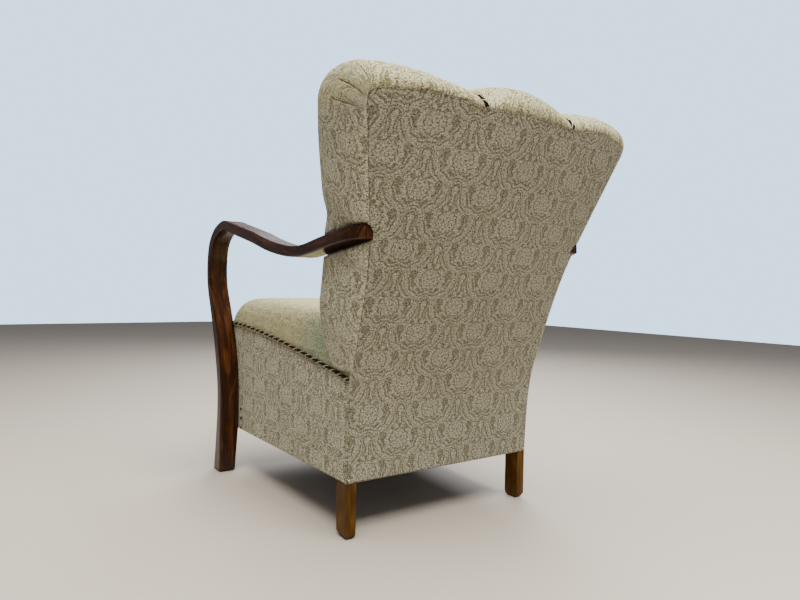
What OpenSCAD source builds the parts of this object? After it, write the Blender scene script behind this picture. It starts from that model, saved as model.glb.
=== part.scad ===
// Fireside chair with bent show-wood arms and a flared, channelled back.
// Millimetres, +Z up, the front of the chair towards -Y, +X is the sitter's left.
// The origin lies on the floor, under the middle of the chair's outer box.
// The chair is drawn with y = 0 at the back face of the rear legs, then moved to that origin.

/* [Seat] */
// Height of the underside of the seat box above the floor
box_z = 113; // [80:1:150]
// Width over the cover at the back of the seat box
box_rear_w = 493; // [440:1:540]
// Width over the cover at the front of the seat box
box_front_w = 544; // [500:1:600]
// Distance from the back face of the rear legs to the front of the seat box
seat_d = 582; // [520:1:640]
// How far the padded front leans out at the corded seam
front_lean = 18; // [8:0.5:22]
// Height of the corded seam at the front of the seat
cord_front_z = 398; // [370:1:430]
// How far the corded seam drops between the front and the back of the seat
cord_drop = 78; // [40:1:95]
// Height of the seat's crown above the floor
seat_z = 470; // [450:1:490]
// Thickness of the cover with its wadding on the sides, front and outside back
cover_t = 6; // [4:0.5:8]

/* [Back] */
// Height of the seam between the outside back and the channels, in the valleys
seam_z = 818; // [760:1:860]
// Rake of the back from upright, in degrees
lean = 20.4; // [12:0.2:24]
// Height at which the rear legs bend backwards
bend_z = 294; // [260:1:320]
// Width of the outside back at its waist
waist_w = 510; // [480:1:540]
// Height of the waist, above which the back flares out
waist_z = 540; // [500:1:580]
// Angle at which the back flares out above its waist, in degrees
flare = 14.6; // [8:0.2:18]
// Bow of the crest towards the rear, at its middle
back_bow = 40; // [20:1:50]
// Thickness of the padded back where it meets the seat
pad_low = 140; // [120:1:155]
// Thickness of the padded back near the crest
pad_high = 192; // [165:1:205]
// How far the channels stand out sideways past the outside back, near the crest
pad_bulge = 26; // [12:1:45]
// Width of the middle channel at the crest
mid_channel_top = 226; // [180:1:260]
// Width of the middle channel at the seat
mid_channel_low = 176; // [150:1:200]
// Depth of the valleys between the channels
valley = 26; // [12:1:34]

/* [Arms and legs] */
// Height of the top of the armrests at the front
arm_z = 671; // [630:1:710]
// Height of the middle of an armrest where it is screwed to the back
arm_end_z = 601; // [575:1:610]
// Height of the middle of an armrest at its lowest dip
arm_dip_z = 573; // [550:1:590]
// Width of the bent band of the arms, seen from above
arm_w = 50; // [40:1:60]
// Width of the band at its rear end, before the end is bevelled
arm_end_w = 45; // [38:1:50]
// Width of the front foot at the floor
foot_w = 43.5; // [36:0.5:48]
// Depth of the front foot at the floor
foot_d = 47; // [36:1:54]
// Thickness of the band in the front bend
band_t = 23; // [18:0.5:28]
// Thickness of the rear legs and back uprights, seen from behind
leg_w = 22; // [18:0.5:28]
// Depth of the rear feet, seen from the side
leg_d = 41; // [34:0.5:46]
// Thickness of the glides under the feet
glide_t = 3; // [2:0.5:5]

/* [Frame inside] */
// Height of the seat rails
rail_h = 70; // [50:1:90]
// Thickness of the seat rails
rail_t = 25; // [18:0.5:30]
// Depth of the back uprights and of the crest rail
frame_d = 39; // [32:1:44]
// Height of the crest rail
crest_h = 72; // [50:1:90]
// Height of the lumbar rail
lumbar_h = 45; // [30:1:60]
// Thickness of the lumbar rail
lumbar_t = 22; // [16:0.5:28]
// Leg length of the triangular corner blocks
block_l = 55; // [40:1:70]
// Width of the webbing
web_w = 50; // [40:1:60]
// Thickness of the webbing, the hessian and the dust cover
web_t = 2; // [1.5:0.1:3]
// Rows and columns of coil springs
springs = 3; // [2:1:4]
// Radius of a coil spring at its ends
spring_r = 44; // [32:1:50]
// Diameter of the spring wire
wire_d = 4; // [3:0.5:5]
// Diameter of the twisted trim cord
cord_d = 7; // [4:0.5:8]
// Diameter of the leg bolts and of the arm screws
bolt_d = 7; // [5:0.5:9]
// Clearance of a bolt in its hole, on the diameter
bolt_fit = 1; // [0.4:0.1:1.5]

/* [Hidden] */
$fn = 48;
far = 1000;         // longer than any part, for the shapes that cut

gap = 0.3;          // clearance between soft parts and what they rest on
wrap = 9;           // padding between the frame and the cover at the sides and top of the back
bend_r = 80;        // softness of the bend in the rear legs
flare_r = 60;       // softness of the bend at the waist
heel = 7;           // how far the outside back stands behind the rear legs
roll_x = 45;        // width of the round edge down the sides of the channels
roll_z = 75;        // height of the round edge along the top of the channels
low_r = 100;        // height of the round edge at the bottom of the channels, where they meet the seat
edge_side = 105;    // distance of the widest line of the channels from the outside back
edge_top = 64;      // distance of the highest line of the channels from the outside back
corner = 0.2;       // how strongly the top corners of the back are rounded
corner_pow = 8;     // how close to the corner the rounding starts
tilt_n = sin(lean);
tilt_f = cos(lean);
front_y = -seat_d;
leg_y = front_y + 20;
rail_z0 = box_z + 2 * web_t;
frame_n = cover_t + gap + frame_d + 0.4;
bolt_r = bolt_d / 2;
hole_r = (bolt_d + bolt_fit) / 2;
cord_r = cord_d / 2;
cord_lift = cord_r + 2.4;   // height of a cord's middle over the cloth in the valleys

function lerp(a, b, t) = a + (b - a) * t;
function clip(t) = min(max(t, 0), 1);
function ease(t) = let (c = clip(t)) c * c * (3 - 2 * c);

// A straight line that bends softly into a slope of 1 at d = 0
function soft(d, r) = (d + sqrt(d * d + r * r)) / 2;

// Half width of the seat box at y, and height of its corded seam there
function side_x(y) = lerp(box_front_w, box_rear_w, (y - front_y) / seat_d) / 2;
function cord_z(y) = cord_front_z - cord_drop * pow(clip((y - front_y) / (seat_d + 20)), 1.5);

// The outside back: its rake, half width, bow and top seam at height z
function lean_y(z) = heel + tan(lean) * soft(z - bend_z, bend_r);
function back_x(z) = lerp(box_rear_w, waist_w, (z - box_z) / (waist_z - box_z)) / 2
    + tan(flare) * soft(z - waist_z, flare_r);
function bow(z) = back_bow * pow(clip((z - box_z) / (crest_z0 - box_z)), 1.2);
function outside_y(x, z) = lean_y(z) + bow(z) * (1 - pow(x / back_x(z), 2));
function half_mid(z) = lerp(mid_channel_low, mid_channel_top,
    (z - cord_front_z) / (seam_z - cord_front_z)) / 2;
crest_z0 = seam_z - wrap - crest_h * tilt_f;
crest_y = lean_y(crest_z0) - (cover_t + 5 * gap) / tilt_f;
top_x = back_x(seam_z);
mid_x = half_mid(seam_z);

// Where the rear feet, the posts above them and the crest rail stand
leg_out = box_rear_w / 2 - cover_t - 1.5;
foot_out = box_rear_w / 2 - 1;
foot_y = lean_y(box_z) - 1;
post_d = leg_d - foot_y;
function outer_share(x) = clip((abs(x) - mid_x) / (top_x - mid_x));
function seam_at(x) = seam_z + (abs(x) < mid_x ? 5 * cos(90 * x / mid_x) : 12 * sin(165 * outer_share(x)));
function crown_at(x) = seam_at(x) + 20 + (abs(x) < mid_x ? 16 * cos(90 * x / mid_x)
    : 18 * pow(outer_share(x), 2));

// Padding thickness and sideways bulge of the channels over the outside back at height z
pad_z0 = cord_z(0) + 14;
function pad_share(z) = clip((z - pad_z0) / (seam_z - 78 - pad_z0));
function pad_t(z) = lerp(pad_low, pad_high, pow(pad_share(z), 0.7));
// the fabric is held in where the armrest's end is screwed on
function arm_dent(z) = 1 - 0.25 * exp(-pow((z - arm_end_z + 8) / 24, 2));
function bulge(z) = pad_bulge * lerp(0.2, 1, ease((z - pad_z0) / 100)) * arm_dent(z);
function wide_x(z) = back_x(z) + bulge(z);

// Rounds the top corners of the back: pulls a point in as it nears the outer top corner
function corner_map(x, z) = let (
        m = half_mid(z),
        px = clip((abs(x) - m) / (wide_x(z) - m)),
        pz = clip((z - box_z) / (crown_at(x) - box_z)),
        s = sign(x))
    abs(x) <= m ? [x, z] : [s * (m + (abs(x) - m) * sqrt(1 - corner * pow(pz, 3 * corner_pow))),
        box_z + (z - box_z) * sqrt(1 - corner * 0.3 * pow(px, corner_pow) * pow(pz, corner_pow))];

// A point n in front of the outside back, above the place (x, z) of that cover.
// The direction turns from level at the seat to square with the raked back.
function over_back(x, z, n) = let (p = corner_map(x, z), k = ease((z - pad_z0) / 110))
    [p[0], outside_y(p[0], p[1]) - n * lerp(1, tilt_f, k), p[1] + n * tilt_n * k];

// Height of a channel over the outside back: crown, valley and round edges
function valley_share(x, z) = let (m = half_mid(z), w = wide_x(z) - m)
    abs(x) <= m ? pow(abs(x) / m, 2.4) : pow(1 - clip((abs(x) - m) / (0.5 * w)), 2.4);
// Front of the frame, measured in front of the bowed outside back: straight at the lumbar rail
// and bowed like the crest rail above it. The channels rest on the webbing and hessian over it.
lumbar_z = cord_front_z + 22;
function frame_front(x, z) = frame_n + tilt_f * (bow(z) * (1 - pow(x / back_x(z), 2))
    - clip((z - lumbar_z - lumbar_h / 2) / (crest_z0 - lumbar_z - lumbar_h / 2)) * back_bow
        * (1 - pow(x / back_x(crest_z0), 2)) * ease((upright_x(z) - leg_w - 8 - abs(x)) / 60));
function pad_n(x, z) = frame_front(x, z) + 2 * web_t + 4 * gap;
function round_edge(q) = sqrt(1 - pow(1 - clip(q), 2));
function low_roll(n, x, z) = pad_n(x, z) + (n - pad_n(x, z)) * round_edge((z - pad_z0) / low_r);
function edge_n(x, z) = low_roll(lerp(edge_side, edge_top, ease((z - crown_at(x) + 170) / 170)), x, z);
function face_n(x, z) = let (
        e = edge_n(x, z),
        f = round_edge((wide_x(z) - abs(x)) / roll_x) * round_edge((crown_at(x) - z) / roll_z))
    e + (low_roll(pad_t(z) - valley * valley_share(x, z), x, z) - e) * f;
// The rear of a channel: on the frame, round its sides, then out to the widest line
function rear_n(x, z) = let (
        ex = (abs(x) - back_x(z) - 0.2) / (bulge(z) - 0.2),
        ez = (z - seam_at(x) - 0.2) / (crown_at(x) - seam_at(x) - 0.2),
        out = clip(sqrt(pow(max(ex, 0), 2) + pow(max(ez, 0), 2))))
    ex > 0 || ez > 0 ? edge_n(x, z) * (1 - sqrt(1 - out * out)) - 1.5 * out
    : abs(x) > back_x(z) - wrap || z > seam_at(x) - wrap ? cover_t + 2 * gap
    : pad_n(x, z);

// Outlines of the band of an arm: the middle line as [y, z, thickness], from the foot to the back
arm_y1 = lean_y(arm_end_z) + 2;
loop_y = leg_y + 22;
arm_run = arm_y1 - loop_y;
arm_line = [
    [leg_y - 8.6, -8, foot_d + 1], [leg_y - 1, 0.93 * box_z, 33], [leg_y + 3, box_z + 62, 29],
    [leg_y, box_z + 127, 30], [leg_y - 15, box_z + 194, 33], [leg_y - 39, arm_z - 295, 31],
    [leg_y - 64, arm_z - 240, 27], [leg_y - 94, arm_z - 175, band_t], [leg_y - 101, arm_z - 124, band_t],
    [leg_y - 95, arm_z - 77, band_t], [leg_y - 80, arm_z - 49, band_t], [leg_y - 50, arm_z - 26, band_t],
    [leg_y - 12, arm_z - 13.5, band_t], [loop_y, arm_z - band_t / 2, band_t],
    [loop_y + 0.1 * arm_run, lerp(arm_z, arm_dip_z, 0.28), band_t + 3],
    [loop_y + 0.28 * arm_run, lerp(arm_z, arm_dip_z, 0.55), band_t + 3],
    [loop_y + 0.46 * arm_run, lerp(arm_z, arm_dip_z, 0.85), band_t + 2],
    [loop_y + 0.64 * arm_run, arm_dip_z, band_t],
    [loop_y + 0.82 * arm_run, lerp(arm_dip_z, arm_end_z, 0.48), band_t + 1],
    [arm_y1, arm_end_z, band_t + 2]];
function spline(p0, p1, p2, p3, t) = 0.5 * (2 * p1 + (p2 - p0) * t
    + (2 * p0 - 5 * p1 + 4 * p2 - p3) * t * t + (3 * p1 - p0 - 3 * p2 + p3) * t * t * t);
arm_steps = 5;
arm_pts = [for (i = [0:len(arm_line) - 2]) for (k = [0:arm_steps - 1])
    spline(arm_line[max(i - 1, 0)], arm_line[i], arm_line[i + 1],
        arm_line[min(i + 2, len(arm_line) - 1)], k / arm_steps), arm_line[len(arm_line) - 1]];
function arm_dir(i) = let (a = arm_pts[max(i - 1, 0)], b = arm_pts[min(i + 1, len(arm_pts) - 1)],
        d = [b[0] - a[0], b[1] - a[1]]) d / norm(d);
function arm_edge(i, s, extra) = let (p = arm_pts[i], d = arm_dir(i), h = s * (p[2] / 2 + extra),
        e = i == len(arm_pts) - 1 ? extra : 0)
    [p[0] - h * d[1] + e * d[0], p[1] + h * d[0] + e * d[1]];

// The inner and outer faces of an arm, seen from above
arm_in_front = side_x(front_y) + gap;
arm_in_rear = upright_x(arm_end_z - band_t / 2) - 0.2;
function arm_in(y) = lerp(arm_in_front, arm_in_rear, (y - front_y) / (arm_y1 - front_y));
function arm_out(y) = arm_in(y) + lerp(arm_w, arm_end_w, (y - front_y) / (arm_y1 - front_y));
loop_front = leg_y - 101 - band_t / 2;

// The chair's outer box in y sets the origin
rear_most = outside_y(mid_x, seam_at(mid_x)) + cord_lift * tilt_f + cord_r;
shift_y = -(loop_front + rear_most) / 2;
module placed() { translate([0, shift_y, 0]) children(); }
module both_sides() { children(); mirror([1, 0, 0]) children(); }

// Closed skin over a grid of points: front and rear sheets of the same size, joined round the rim
function grid_faces(nu, nv) = let (n = (nu + 1) * (nv + 1), id = function(i, j) j * (nu + 1) + i)
    concat(
        [for (j = [0:nv - 1]) for (i = [0:nu - 1]) each let (a = id(i, j), b = id(i + 1, j),
            c = id(i + 1, j + 1), d = id(i, j + 1)) i < nu / 2
            ? [[a, c, b], [a, d, c], [n + a, n + b, n + c], [n + a, n + c, n + d]]
            : [[a, d, b], [b, d, c], [n + a, n + b, n + d], [n + b, n + c, n + d]]],
        [for (i = [0:nu - 1]) each let (a = id(i, 0), b = id(i + 1, 0), c = id(i, nv), d = id(i + 1, nv))
            [[a, b, n + a], [b, n + b, n + a], [d, c, n + d], [c, n + c, n + d]]],
        [for (j = [0:nv - 1]) each let (a = id(0, j), b = id(0, j + 1), c = id(nu, j), d = id(nu, j + 1))
            [[b, a, n + b], [a, n + a, n + b], [c, d, n + c], [d, n + d, n + c]]]);
module skin(front, rear) {
    nv = len(front) - 1;
    nu = len(front[0]) - 1;
    polyhedron([for (r = front) each r, for (r = rear) each r], grid_faces(nu, nv), convexity = 6);
}

// A round bar along a list of points, with flat ends
function unit(v) = v / norm(v);
module tube(pts, r, sides, up) {
    last = len(pts) - 1;
    rings = [for (i = [0:last]) let (
            d = unit(pts[min(i + 1, last)] - pts[max(i - 1, 0)]),
            a = unit(cross(d, up)),
            b = cross(a, d))
        for (k = [0:sides - 1]) pts[i] + r * (cos(360 * k / sides) * a + sin(360 * k / sides) * b)];
    walls = [for (i = [0:last - 1]) for (k = [0:sides - 1]) each let (
            a = i * sides + k, b = i * sides + (k + 1) % sides)
        [[a, b + sides, a + sides], [a, b, b + sides]]];
    caps = [for (k = [1:sides - 2]) each [[0, k + 1, k],
        [last * sides, last * sides + k, last * sides + k + 1]]];
    polyhedron(rings, concat(walls, caps), convexity = 8);
}

// Bent laminated arm and front leg in one piece, for the sitter's left. Its rear end is bevelled
// over the length end_bevel, by end_out on the outer corner and end_in on the inner one.
end_bevel = 36;
end_out = 24;
end_in = 9;
module arm_solid(extra = 0) {
    n = len(arm_pts) - 1;
    bevel = [[arm_out(arm_y1 - end_bevel), arm_y1 - end_bevel], [arm_out(arm_y1) - end_out, arm_y1 + extra],
        [arm_in(arm_y1) + end_in - extra, arm_y1 + extra],
        [arm_in(arm_y1 - 1.5 * end_in) - extra, arm_y1 - 1.5 * end_in + extra]];
    intersection() {
        rotate([90, 0, 90]) linear_extrude(2 * arm_in_front)
            polygon([for (i = [0:n]) arm_edge(i, 1, extra), for (i = [n:-1:0]) arm_edge(i, -1, extra)]);
        translate([0, 0, glide_t]) linear_extrude(2 * arm_z) polygon(concat(
            [[arm_in(loop_front - 9) - extra, loop_front - 9], [arm_out(loop_front - 9), loop_front - 9]],
            bevel));
    }
}
module foot_taper() {
    rotate([90, 0, 0]) translate([0, 0, -leg_y - foot_d]) linear_extrude(2 * foot_d)
        polygon([[0, 0], [arm_in_front + arm_w - foot_w, 0], [arm_in(leg_y) - gap, 0.95 * box_z],
            [0, 0.95 * box_z]]);
}
// Each front leg is bolted from inside through its side rail, each arm screwed from inside
// through its back upright; the heads are sunk into the rail and the upright
leg_bolt_z = [rail_z0 + 0.3 * rail_h, rail_z0 + 0.75 * rail_h];
leg_bolt_y = leg_y + 3;
leg_bolt_x0 = side_x(leg_bolt_y) - cover_t - gap - rail_t + 6;
leg_bolt_x1 = arm_in_front + 20;
arm_screw_y = [arm_y1 - 38, arm_y1 - 18];
arm_screw_x0 = upright_x(arm_end_z) - leg_w + 6;
arm_screw_x1 = arm_in_rear + 16;
function arm_screw_z(y) = arm_end_z - (arm_y1 - y) * 0.17;
module bar(x0, x1, y, z, r) { translate([x0, y, z]) rotate([0, 90, 0]) cylinder(h = x1 - x0, r = r); }
module leg_bolt_bores() {
    for (z = leg_bolt_z) {
        bar(leg_bolt_x0 - 1, leg_bolt_x1 + 1, leg_bolt_y, z, hole_r);
        bar(leg_bolt_x0 - 20, leg_bolt_x0, leg_bolt_y, z, bolt_d + bolt_fit);
    }
}
module arm_screw_bores() {
    for (y = arm_screw_y) {
        bar(arm_screw_x0 - 1, arm_screw_x1 + 1, y, arm_screw_z(y), hole_r);
        bar(arm_screw_x0 - 30, arm_screw_x0, y, arm_screw_z(y), bolt_d + bolt_fit);
    }
}
module arm(side) {
    color([0.24, 0.13, 0.07]) placed() mirror([side < 0 ? 1 : 0, 0, 0]) difference() {
        arm_solid();
        foot_taper();
        leg_bolt_bores();
        arm_screw_bores();
    }
}

// Rear foot, leg post and back upright, sawn from one plank, for the sitter's left.
// The foot stands flush with the cover; above it the post is set back by the cover's thickness.
function upright_x(z) = let (b = back_x(z - frame_d * tilt_n)) lerp(
    min(leg_out, b - box_rear_w / 2 + leg_out), b - wrap - 1.6, ease((z - pad_z0 + 20) / 60));
function upright_y(z) = max(lean_y(z) - (cover_t + gap + 0.1) / tilt_f, 0);
upright_zs = [for (k = [0:24]) lerp(box_z, crest_z0 + 20, k / 24)];
module upright_solid() {
    n = len(upright_zs) - 1;
    intersection() {
        rotate([90, 0, 90]) linear_extrude(2 * top_x) polygon(concat(
            [for (z = upright_zs) [upright_y(z), z]],
            [for (k = [n:-1:0]) let (z = upright_zs[k]) [upright_y(z)
                - lerp(post_d, frame_d / tilt_f, ease((z - box_z) / 200)), z]]));
        translate([0, far, 0]) rotate([90, 0, 0]) linear_extrude(2 * far) polygon(concat(
            [for (z = upright_zs) [upright_x(z), z]],
            [for (k = [n:-1:0]) [upright_x(upright_zs[k]) - leg_w, upright_zs[k]]]));
        // the top is cut square to the rake, where the crest rail sits on it
        translate([0, crest_y, crest_z0]) rotate([-lean, 0, 0])
            translate([0, -far, -2 * far]) cube(2 * far);
    }
}
module rear_foot() {
    // a short bevel all round the bottom of the foot
    c = 4;
    intersection() {
        translate([foot_out - leg_w, foot_y - leg_d, glide_t]) cube([leg_w, leg_d, box_z - glide_t]);
        rotate([90, 0, 90]) linear_extrude(2 * top_x) polygon([
            [foot_y - leg_d + c, glide_t], [foot_y - c, glide_t], [foot_y, glide_t + 2 * c],
            [foot_y, box_z], [foot_y - leg_d, box_z], [foot_y - leg_d, glide_t + 2 * c]]);
        translate([0, far, 0]) rotate([90, 0, 0]) linear_extrude(2 * far) polygon([
            [foot_out - leg_w, glide_t], [foot_out - c, glide_t], [foot_out, glide_t + 2 * c],
            [foot_out, box_z], [foot_out - leg_w, box_z]]);
    }
}
module arm_seat() {
    // flat seat for the arm's rear end in the outer face of the upright
    linear_extrude(2 * arm_z) polygon([[arm_in(0), 0], [arm_in(2 * arm_y1), 2 * arm_y1],
        [arm_in(0) + arm_w, 2 * arm_y1], [arm_in(0) + arm_w, 0]]);
}
module rear_leg(side) {
    color([0.36, 0.24, 0.13]) placed() mirror([side < 0 ? 1 : 0, 0, 0]) difference() {
        union() {
            upright_solid();
            rear_foot();
        }
        intersection() {
            arm_seat();
            translate([0, -far, arm_end_z - band_t]) cube([far, 2 * far, 1.75 * band_t]);
        }
        arm_screw_bores();
    }
}

module foot_glides() {
    color([0.1, 0.09, 0.08]) placed() both_sides() {
        translate([foot_out - leg_w + 3, foot_y - leg_d + 6, 0]) cube([leg_w - 8, leg_d - 12, glide_t]);
        translate([arm_in_front + arm_w - foot_w + 4, leg_y - 8 - foot_d / 2 + 4, 0])
            cube([foot_w - 10, foot_d - 8, glide_t]);
    }
}

// Seat frame: the side rails run the whole depth, the front and rear rails stand between them
rail_x = cover_t + gap;
rail_y0 = front_y + cover_t + gap;
rail_half = upright_x(rail_z0 + rail_h) - leg_w;
function rail_in(y) = side_x(y) - rail_x - rail_t;
module side_rail(side) {
    color([0.78, 0.62, 0.42]) placed() mirror([side < 0 ? 1 : 0, 0, 0]) difference() {
        translate([0, 0, rail_z0]) linear_extrude(rail_h) polygon([
            [side_x(rail_y0) - rail_x, rail_y0], [side_x(-post_d) - rail_x, -post_d],
            [rail_in(-post_d), -post_d], [rail_in(rail_y0), rail_y0]]);
        leg_bolt_bores();
    }
}
module front_rail() {
    y1 = rail_y0 + rail_t;
    color([0.78, 0.62, 0.42]) placed() translate([0, 0, rail_z0]) linear_extrude(rail_h) polygon([
        [-rail_in(rail_y0), rail_y0], [rail_in(rail_y0), rail_y0], [rail_in(y1), y1], [-rail_in(y1), y1]]);
}
module rear_rail() {
    color([0.78, 0.62, 0.42]) placed() translate([-rail_half, -rail_t, rail_z0])
        cube([2 * rail_half, rail_t, rail_h]);
}
module corner_blocks() {
    y0 = rail_y0 + rail_t;
    module block(x, y, s) {
        translate([x, y, rail_z0 + 8]) linear_extrude(rail_h - 16)
            polygon([[0, 0], [-block_l, 0], [rail_in(y + s * block_l) - rail_in(y), s * block_l]]);
    }
    color([0.72, 0.55, 0.36]) placed() both_sides() {
        block(rail_in(y0) - gap, y0 + gap, 1);
        block(rail_half - 1, -rail_t - gap, -1);
    }
}

// Crest rail: three humps along its top, bowed to the rear, in the raked plane of the back
crest_bow = back_bow * tilt_f;
crest_r = (pow(back_x(crest_z0), 2) + crest_bow * crest_bow) / (2 * crest_bow);
function crest_top(x) = let (p = corner_map(x, seam_at(x) - wrap - 1.5)) [p[0], (p[1] - crest_z0) / tilt_f];
module crest_rail() {
    half = upright_x(crest_z0);
    n = 48;
    color([0.78, 0.62, 0.42]) placed() translate([0, crest_y, crest_z0])
        rotate([-lean, 0, 0]) intersection() {
            translate([0, far, 0]) rotate([90, 0, 0]) linear_extrude(2 * far) polygon(concat(
                [[-half, gap], [half, gap]],
                [for (k = [n:-1:-n]) crest_top(k / n * (top_x - wrap - 3))]));
            translate([0, crest_bow - crest_r, 0]) linear_extrude(2 * crest_h)
                difference() {
                    circle(r = crest_r, $fn = 720);
                    translate([0, -frame_d]) circle(r = crest_r, $fn = 720);
                }
        }
}
module lumbar_rail() {
    inner = upright_x(lumbar_z - lumbar_h / 2) - leg_w - gap;
    color([0.78, 0.62, 0.42]) placed() translate([-inner, lean_y(lumbar_z), lumbar_z]) rotate([-lean, 0, 0])
        translate([0, 1.5 - frame_n, -lumbar_h / 2]) cube([2 * inner, lumbar_t, lumbar_h]);
}

module leg_bolts() {
    color([0.5, 0.5, 0.5]) placed() both_sides() for (z = leg_bolt_z) {
        bar(leg_bolt_x0, leg_bolt_x1, leg_bolt_y, z, bolt_r);
        bar(leg_bolt_x0 - 5, leg_bolt_x0, leg_bolt_y, z, bolt_d);
    }
}
module arm_screws() {
    color([0.5, 0.5, 0.5]) placed() both_sides() for (y = arm_screw_y) {
        bar(arm_screw_x0, arm_screw_x1, y, arm_screw_z(y), bolt_r);
        bar(arm_screw_x0 - 4, arm_screw_x0, y, arm_screw_z(y), bolt_d);
    }
}

// Seat inside: straps under the rails, coil springs on them, hessian over the springs
inner_front = rail_y0 + rail_t / 2;
web_pitch = (seat_d - 30) / (springs + 1);
module seat_webbing() {
    color([0.66, 0.55, 0.36]) placed() translate([0, 0, rail_z0 - web_t]) linear_extrude(web_t - gap) {
        for (k = [1:springs]) {
            y = inner_front + k * web_pitch - web_w / 2;
            half = side_x(y + web_w) - rail_x - 3;
            translate([-half, y]) square([2 * half, web_w]);
            x = (k - (springs + 1) / 2) * spring_x_pitch;
            translate([x - web_w / 2, inner_front]) square([web_w, -inner_front - rail_t / 2]);
        }
    }
}
spring_x_pitch = (box_rear_w - 2 * (leg_w + 12)) / (springs + 0.4);
hessian_drop = 8;
function spring_top(y) = cord_z(y + spring_r) - hessian_drop - web_t;
spring_turns = 5;
module spring(h) {
    steps = spring_turns * 10;
    tube([for (k = [0:steps]) let (
            t = k / steps,
            r = spring_r - wire_d / 2 - 16 * sin(180 * t),
            z = wire_d / 2 + (h - wire_d) * (t - 0.075 * sin(720 * t) / 2))
        [r * cos(36 * k), r * sin(36 * k), z]], wire_d / 2, 4, [0, 0, 1]);
}
module seat_springs() {
    z0 = rail_z0 - gap + 0.1;
    color([0.35, 0.35, 0.36]) placed() for (i = [1:springs]) for (j = [1:springs]) {
        x = (i - (springs + 1) / 2) * spring_x_pitch;
        y = inner_front + j * web_pitch;
        translate([x, y, z0]) spring(spring_top(y) - z0);
    }
}
function across(half, n) = [for (i = [0:n]) lerp(-half, half, i / n)];
module seat_hessian() {
    y0 = front_y + cover_t + 12;
    y1 = -post_d - 10;
    rows = [for (j = [0:8]) lerp(y0, y1, j / 8)];
    function sheet(z) = [for (y = rows)
        [for (x = across(side_x(y) - cover_t - gap, 2)) [x, y, cord_z(y) + z]]];
    color([0.66, 0.55, 0.36]) placed() skin(sheet(-hessian_drop), sheet(-hessian_drop - web_t + 0.5));
}

// Back inside: straps from the crest rail to the lumbar rail, hessian over them
strap_x = [for (k = [-2:2]) k * (upright_x(lumbar_z) - leg_w - 1.2 * web_w) / 2];
module back_webbing() {
    rows = [for (j = [0:8]) lerp(lumbar_z - 10, crest_z0 + 18, j / 8)];
    function strap(x0, n) = [for (z = rows) [for (s = [-0.4, 0, 0.4]) let (x = x0 + s * web_w)
        over_back(x, z, frame_front(x, z) + n)]];
    color([0.66, 0.55, 0.36]) placed() for (x = strap_x) skin(strap(x, web_t - gap / 2), strap(x, 3 * gap));
}
module back_hessian() {
    rows = [for (j = [0:8]) lerp(lumbar_z - 10, crest_z0 + 34, j / 8)];
    function sheet(n) = [for (z = rows) [for (x = across(upright_x(z) - 8, 16))
        over_back(x, z, frame_front(x, z) + n)]];
    color([0.66, 0.55, 0.36]) placed() skin(sheet(2 * web_t), sheet(web_t + 2 * gap));
}

// Padded seat: crowned top, drawn in at its corded seam, rounded over its front edge.
// It runs on under the channels, whose round bottom edge is pressed into it.
seat_nu = 20;
seat_nv = 13;
pressed_rows = 5;   // rows of the channels' grid that stand in the seat
seat_y0 = front_y - front_lean;
seat_y1 = lean_y(cord_z(0)) - cover_t - 2;
function seat_side(u) = sqrt(1 - pow(abs(u), 11));
function seat_rise(y, v) = lerp(seat_z, seat_z - 20, v) - cord_z(y) - 3;
function seat_roll(v) = clip(v / 0.12);
function seat_front(v) = sqrt(1 - pow(1 - seat_roll(v), 3));
function seat_bump(v) = 4 * sqrt(seat_roll(v)) * (1 - sqrt(seat_roll(v)));
function seat_point(u, v) = let (y = lerp(seat_y0, -pad_low / 2, v))
    [u * (side_x(y) - gap), y - front_lean * seat_bump(v) * (1 - pow(u, 6)),
        cord_z(y) + 3 + seat_rise(y, v) * seat_side(u) * seat_front(v)];
function spread(t) = let (c = 2 * t - 1) 0.35 * c + 0.65 * sin(90 * c);
module seat_pad() {
    us = [for (i = [0:seat_nu]) spread(i / seat_nu)];
    vs = [for (j = [0:seat_nv]) pow(j / seat_nv, 1.8)];
    rear_ys = [-45, seat_y1];
    top = concat([for (v = vs) [for (u = us) seat_point(u, v)]],
        [for (y = rear_ys) [for (u = us) [u * (side_x(y) - gap), y, pad_z0 - gap]]]);
    low = [for (y = concat([for (v = vs) lerp(seat_y0, -pad_low / 2, v)], rear_ys)) [for (u = us)
        [u * (side_x(y) - gap), y, cord_z(y) - hessian_drop + gap]]];
    color([0.72, 0.68, 0.5]) placed() difference() {
        skin(top, low);
        both_sides() translate([min(leg_out, upright_x(pad_z0)) - leg_w - gap, -post_d - 8, box_z])
            cube([abs(upright_x(pad_z0) - leg_out) + leg_w + 2 * gap, far, cord_front_z]);
        translate([0, -gap, -gap]) {
            channel_solid(mid_columns_at, pressed_rows);
            both_sides() channel_solid(outer_columns_at, pressed_rows);
        }
    }
}

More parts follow.
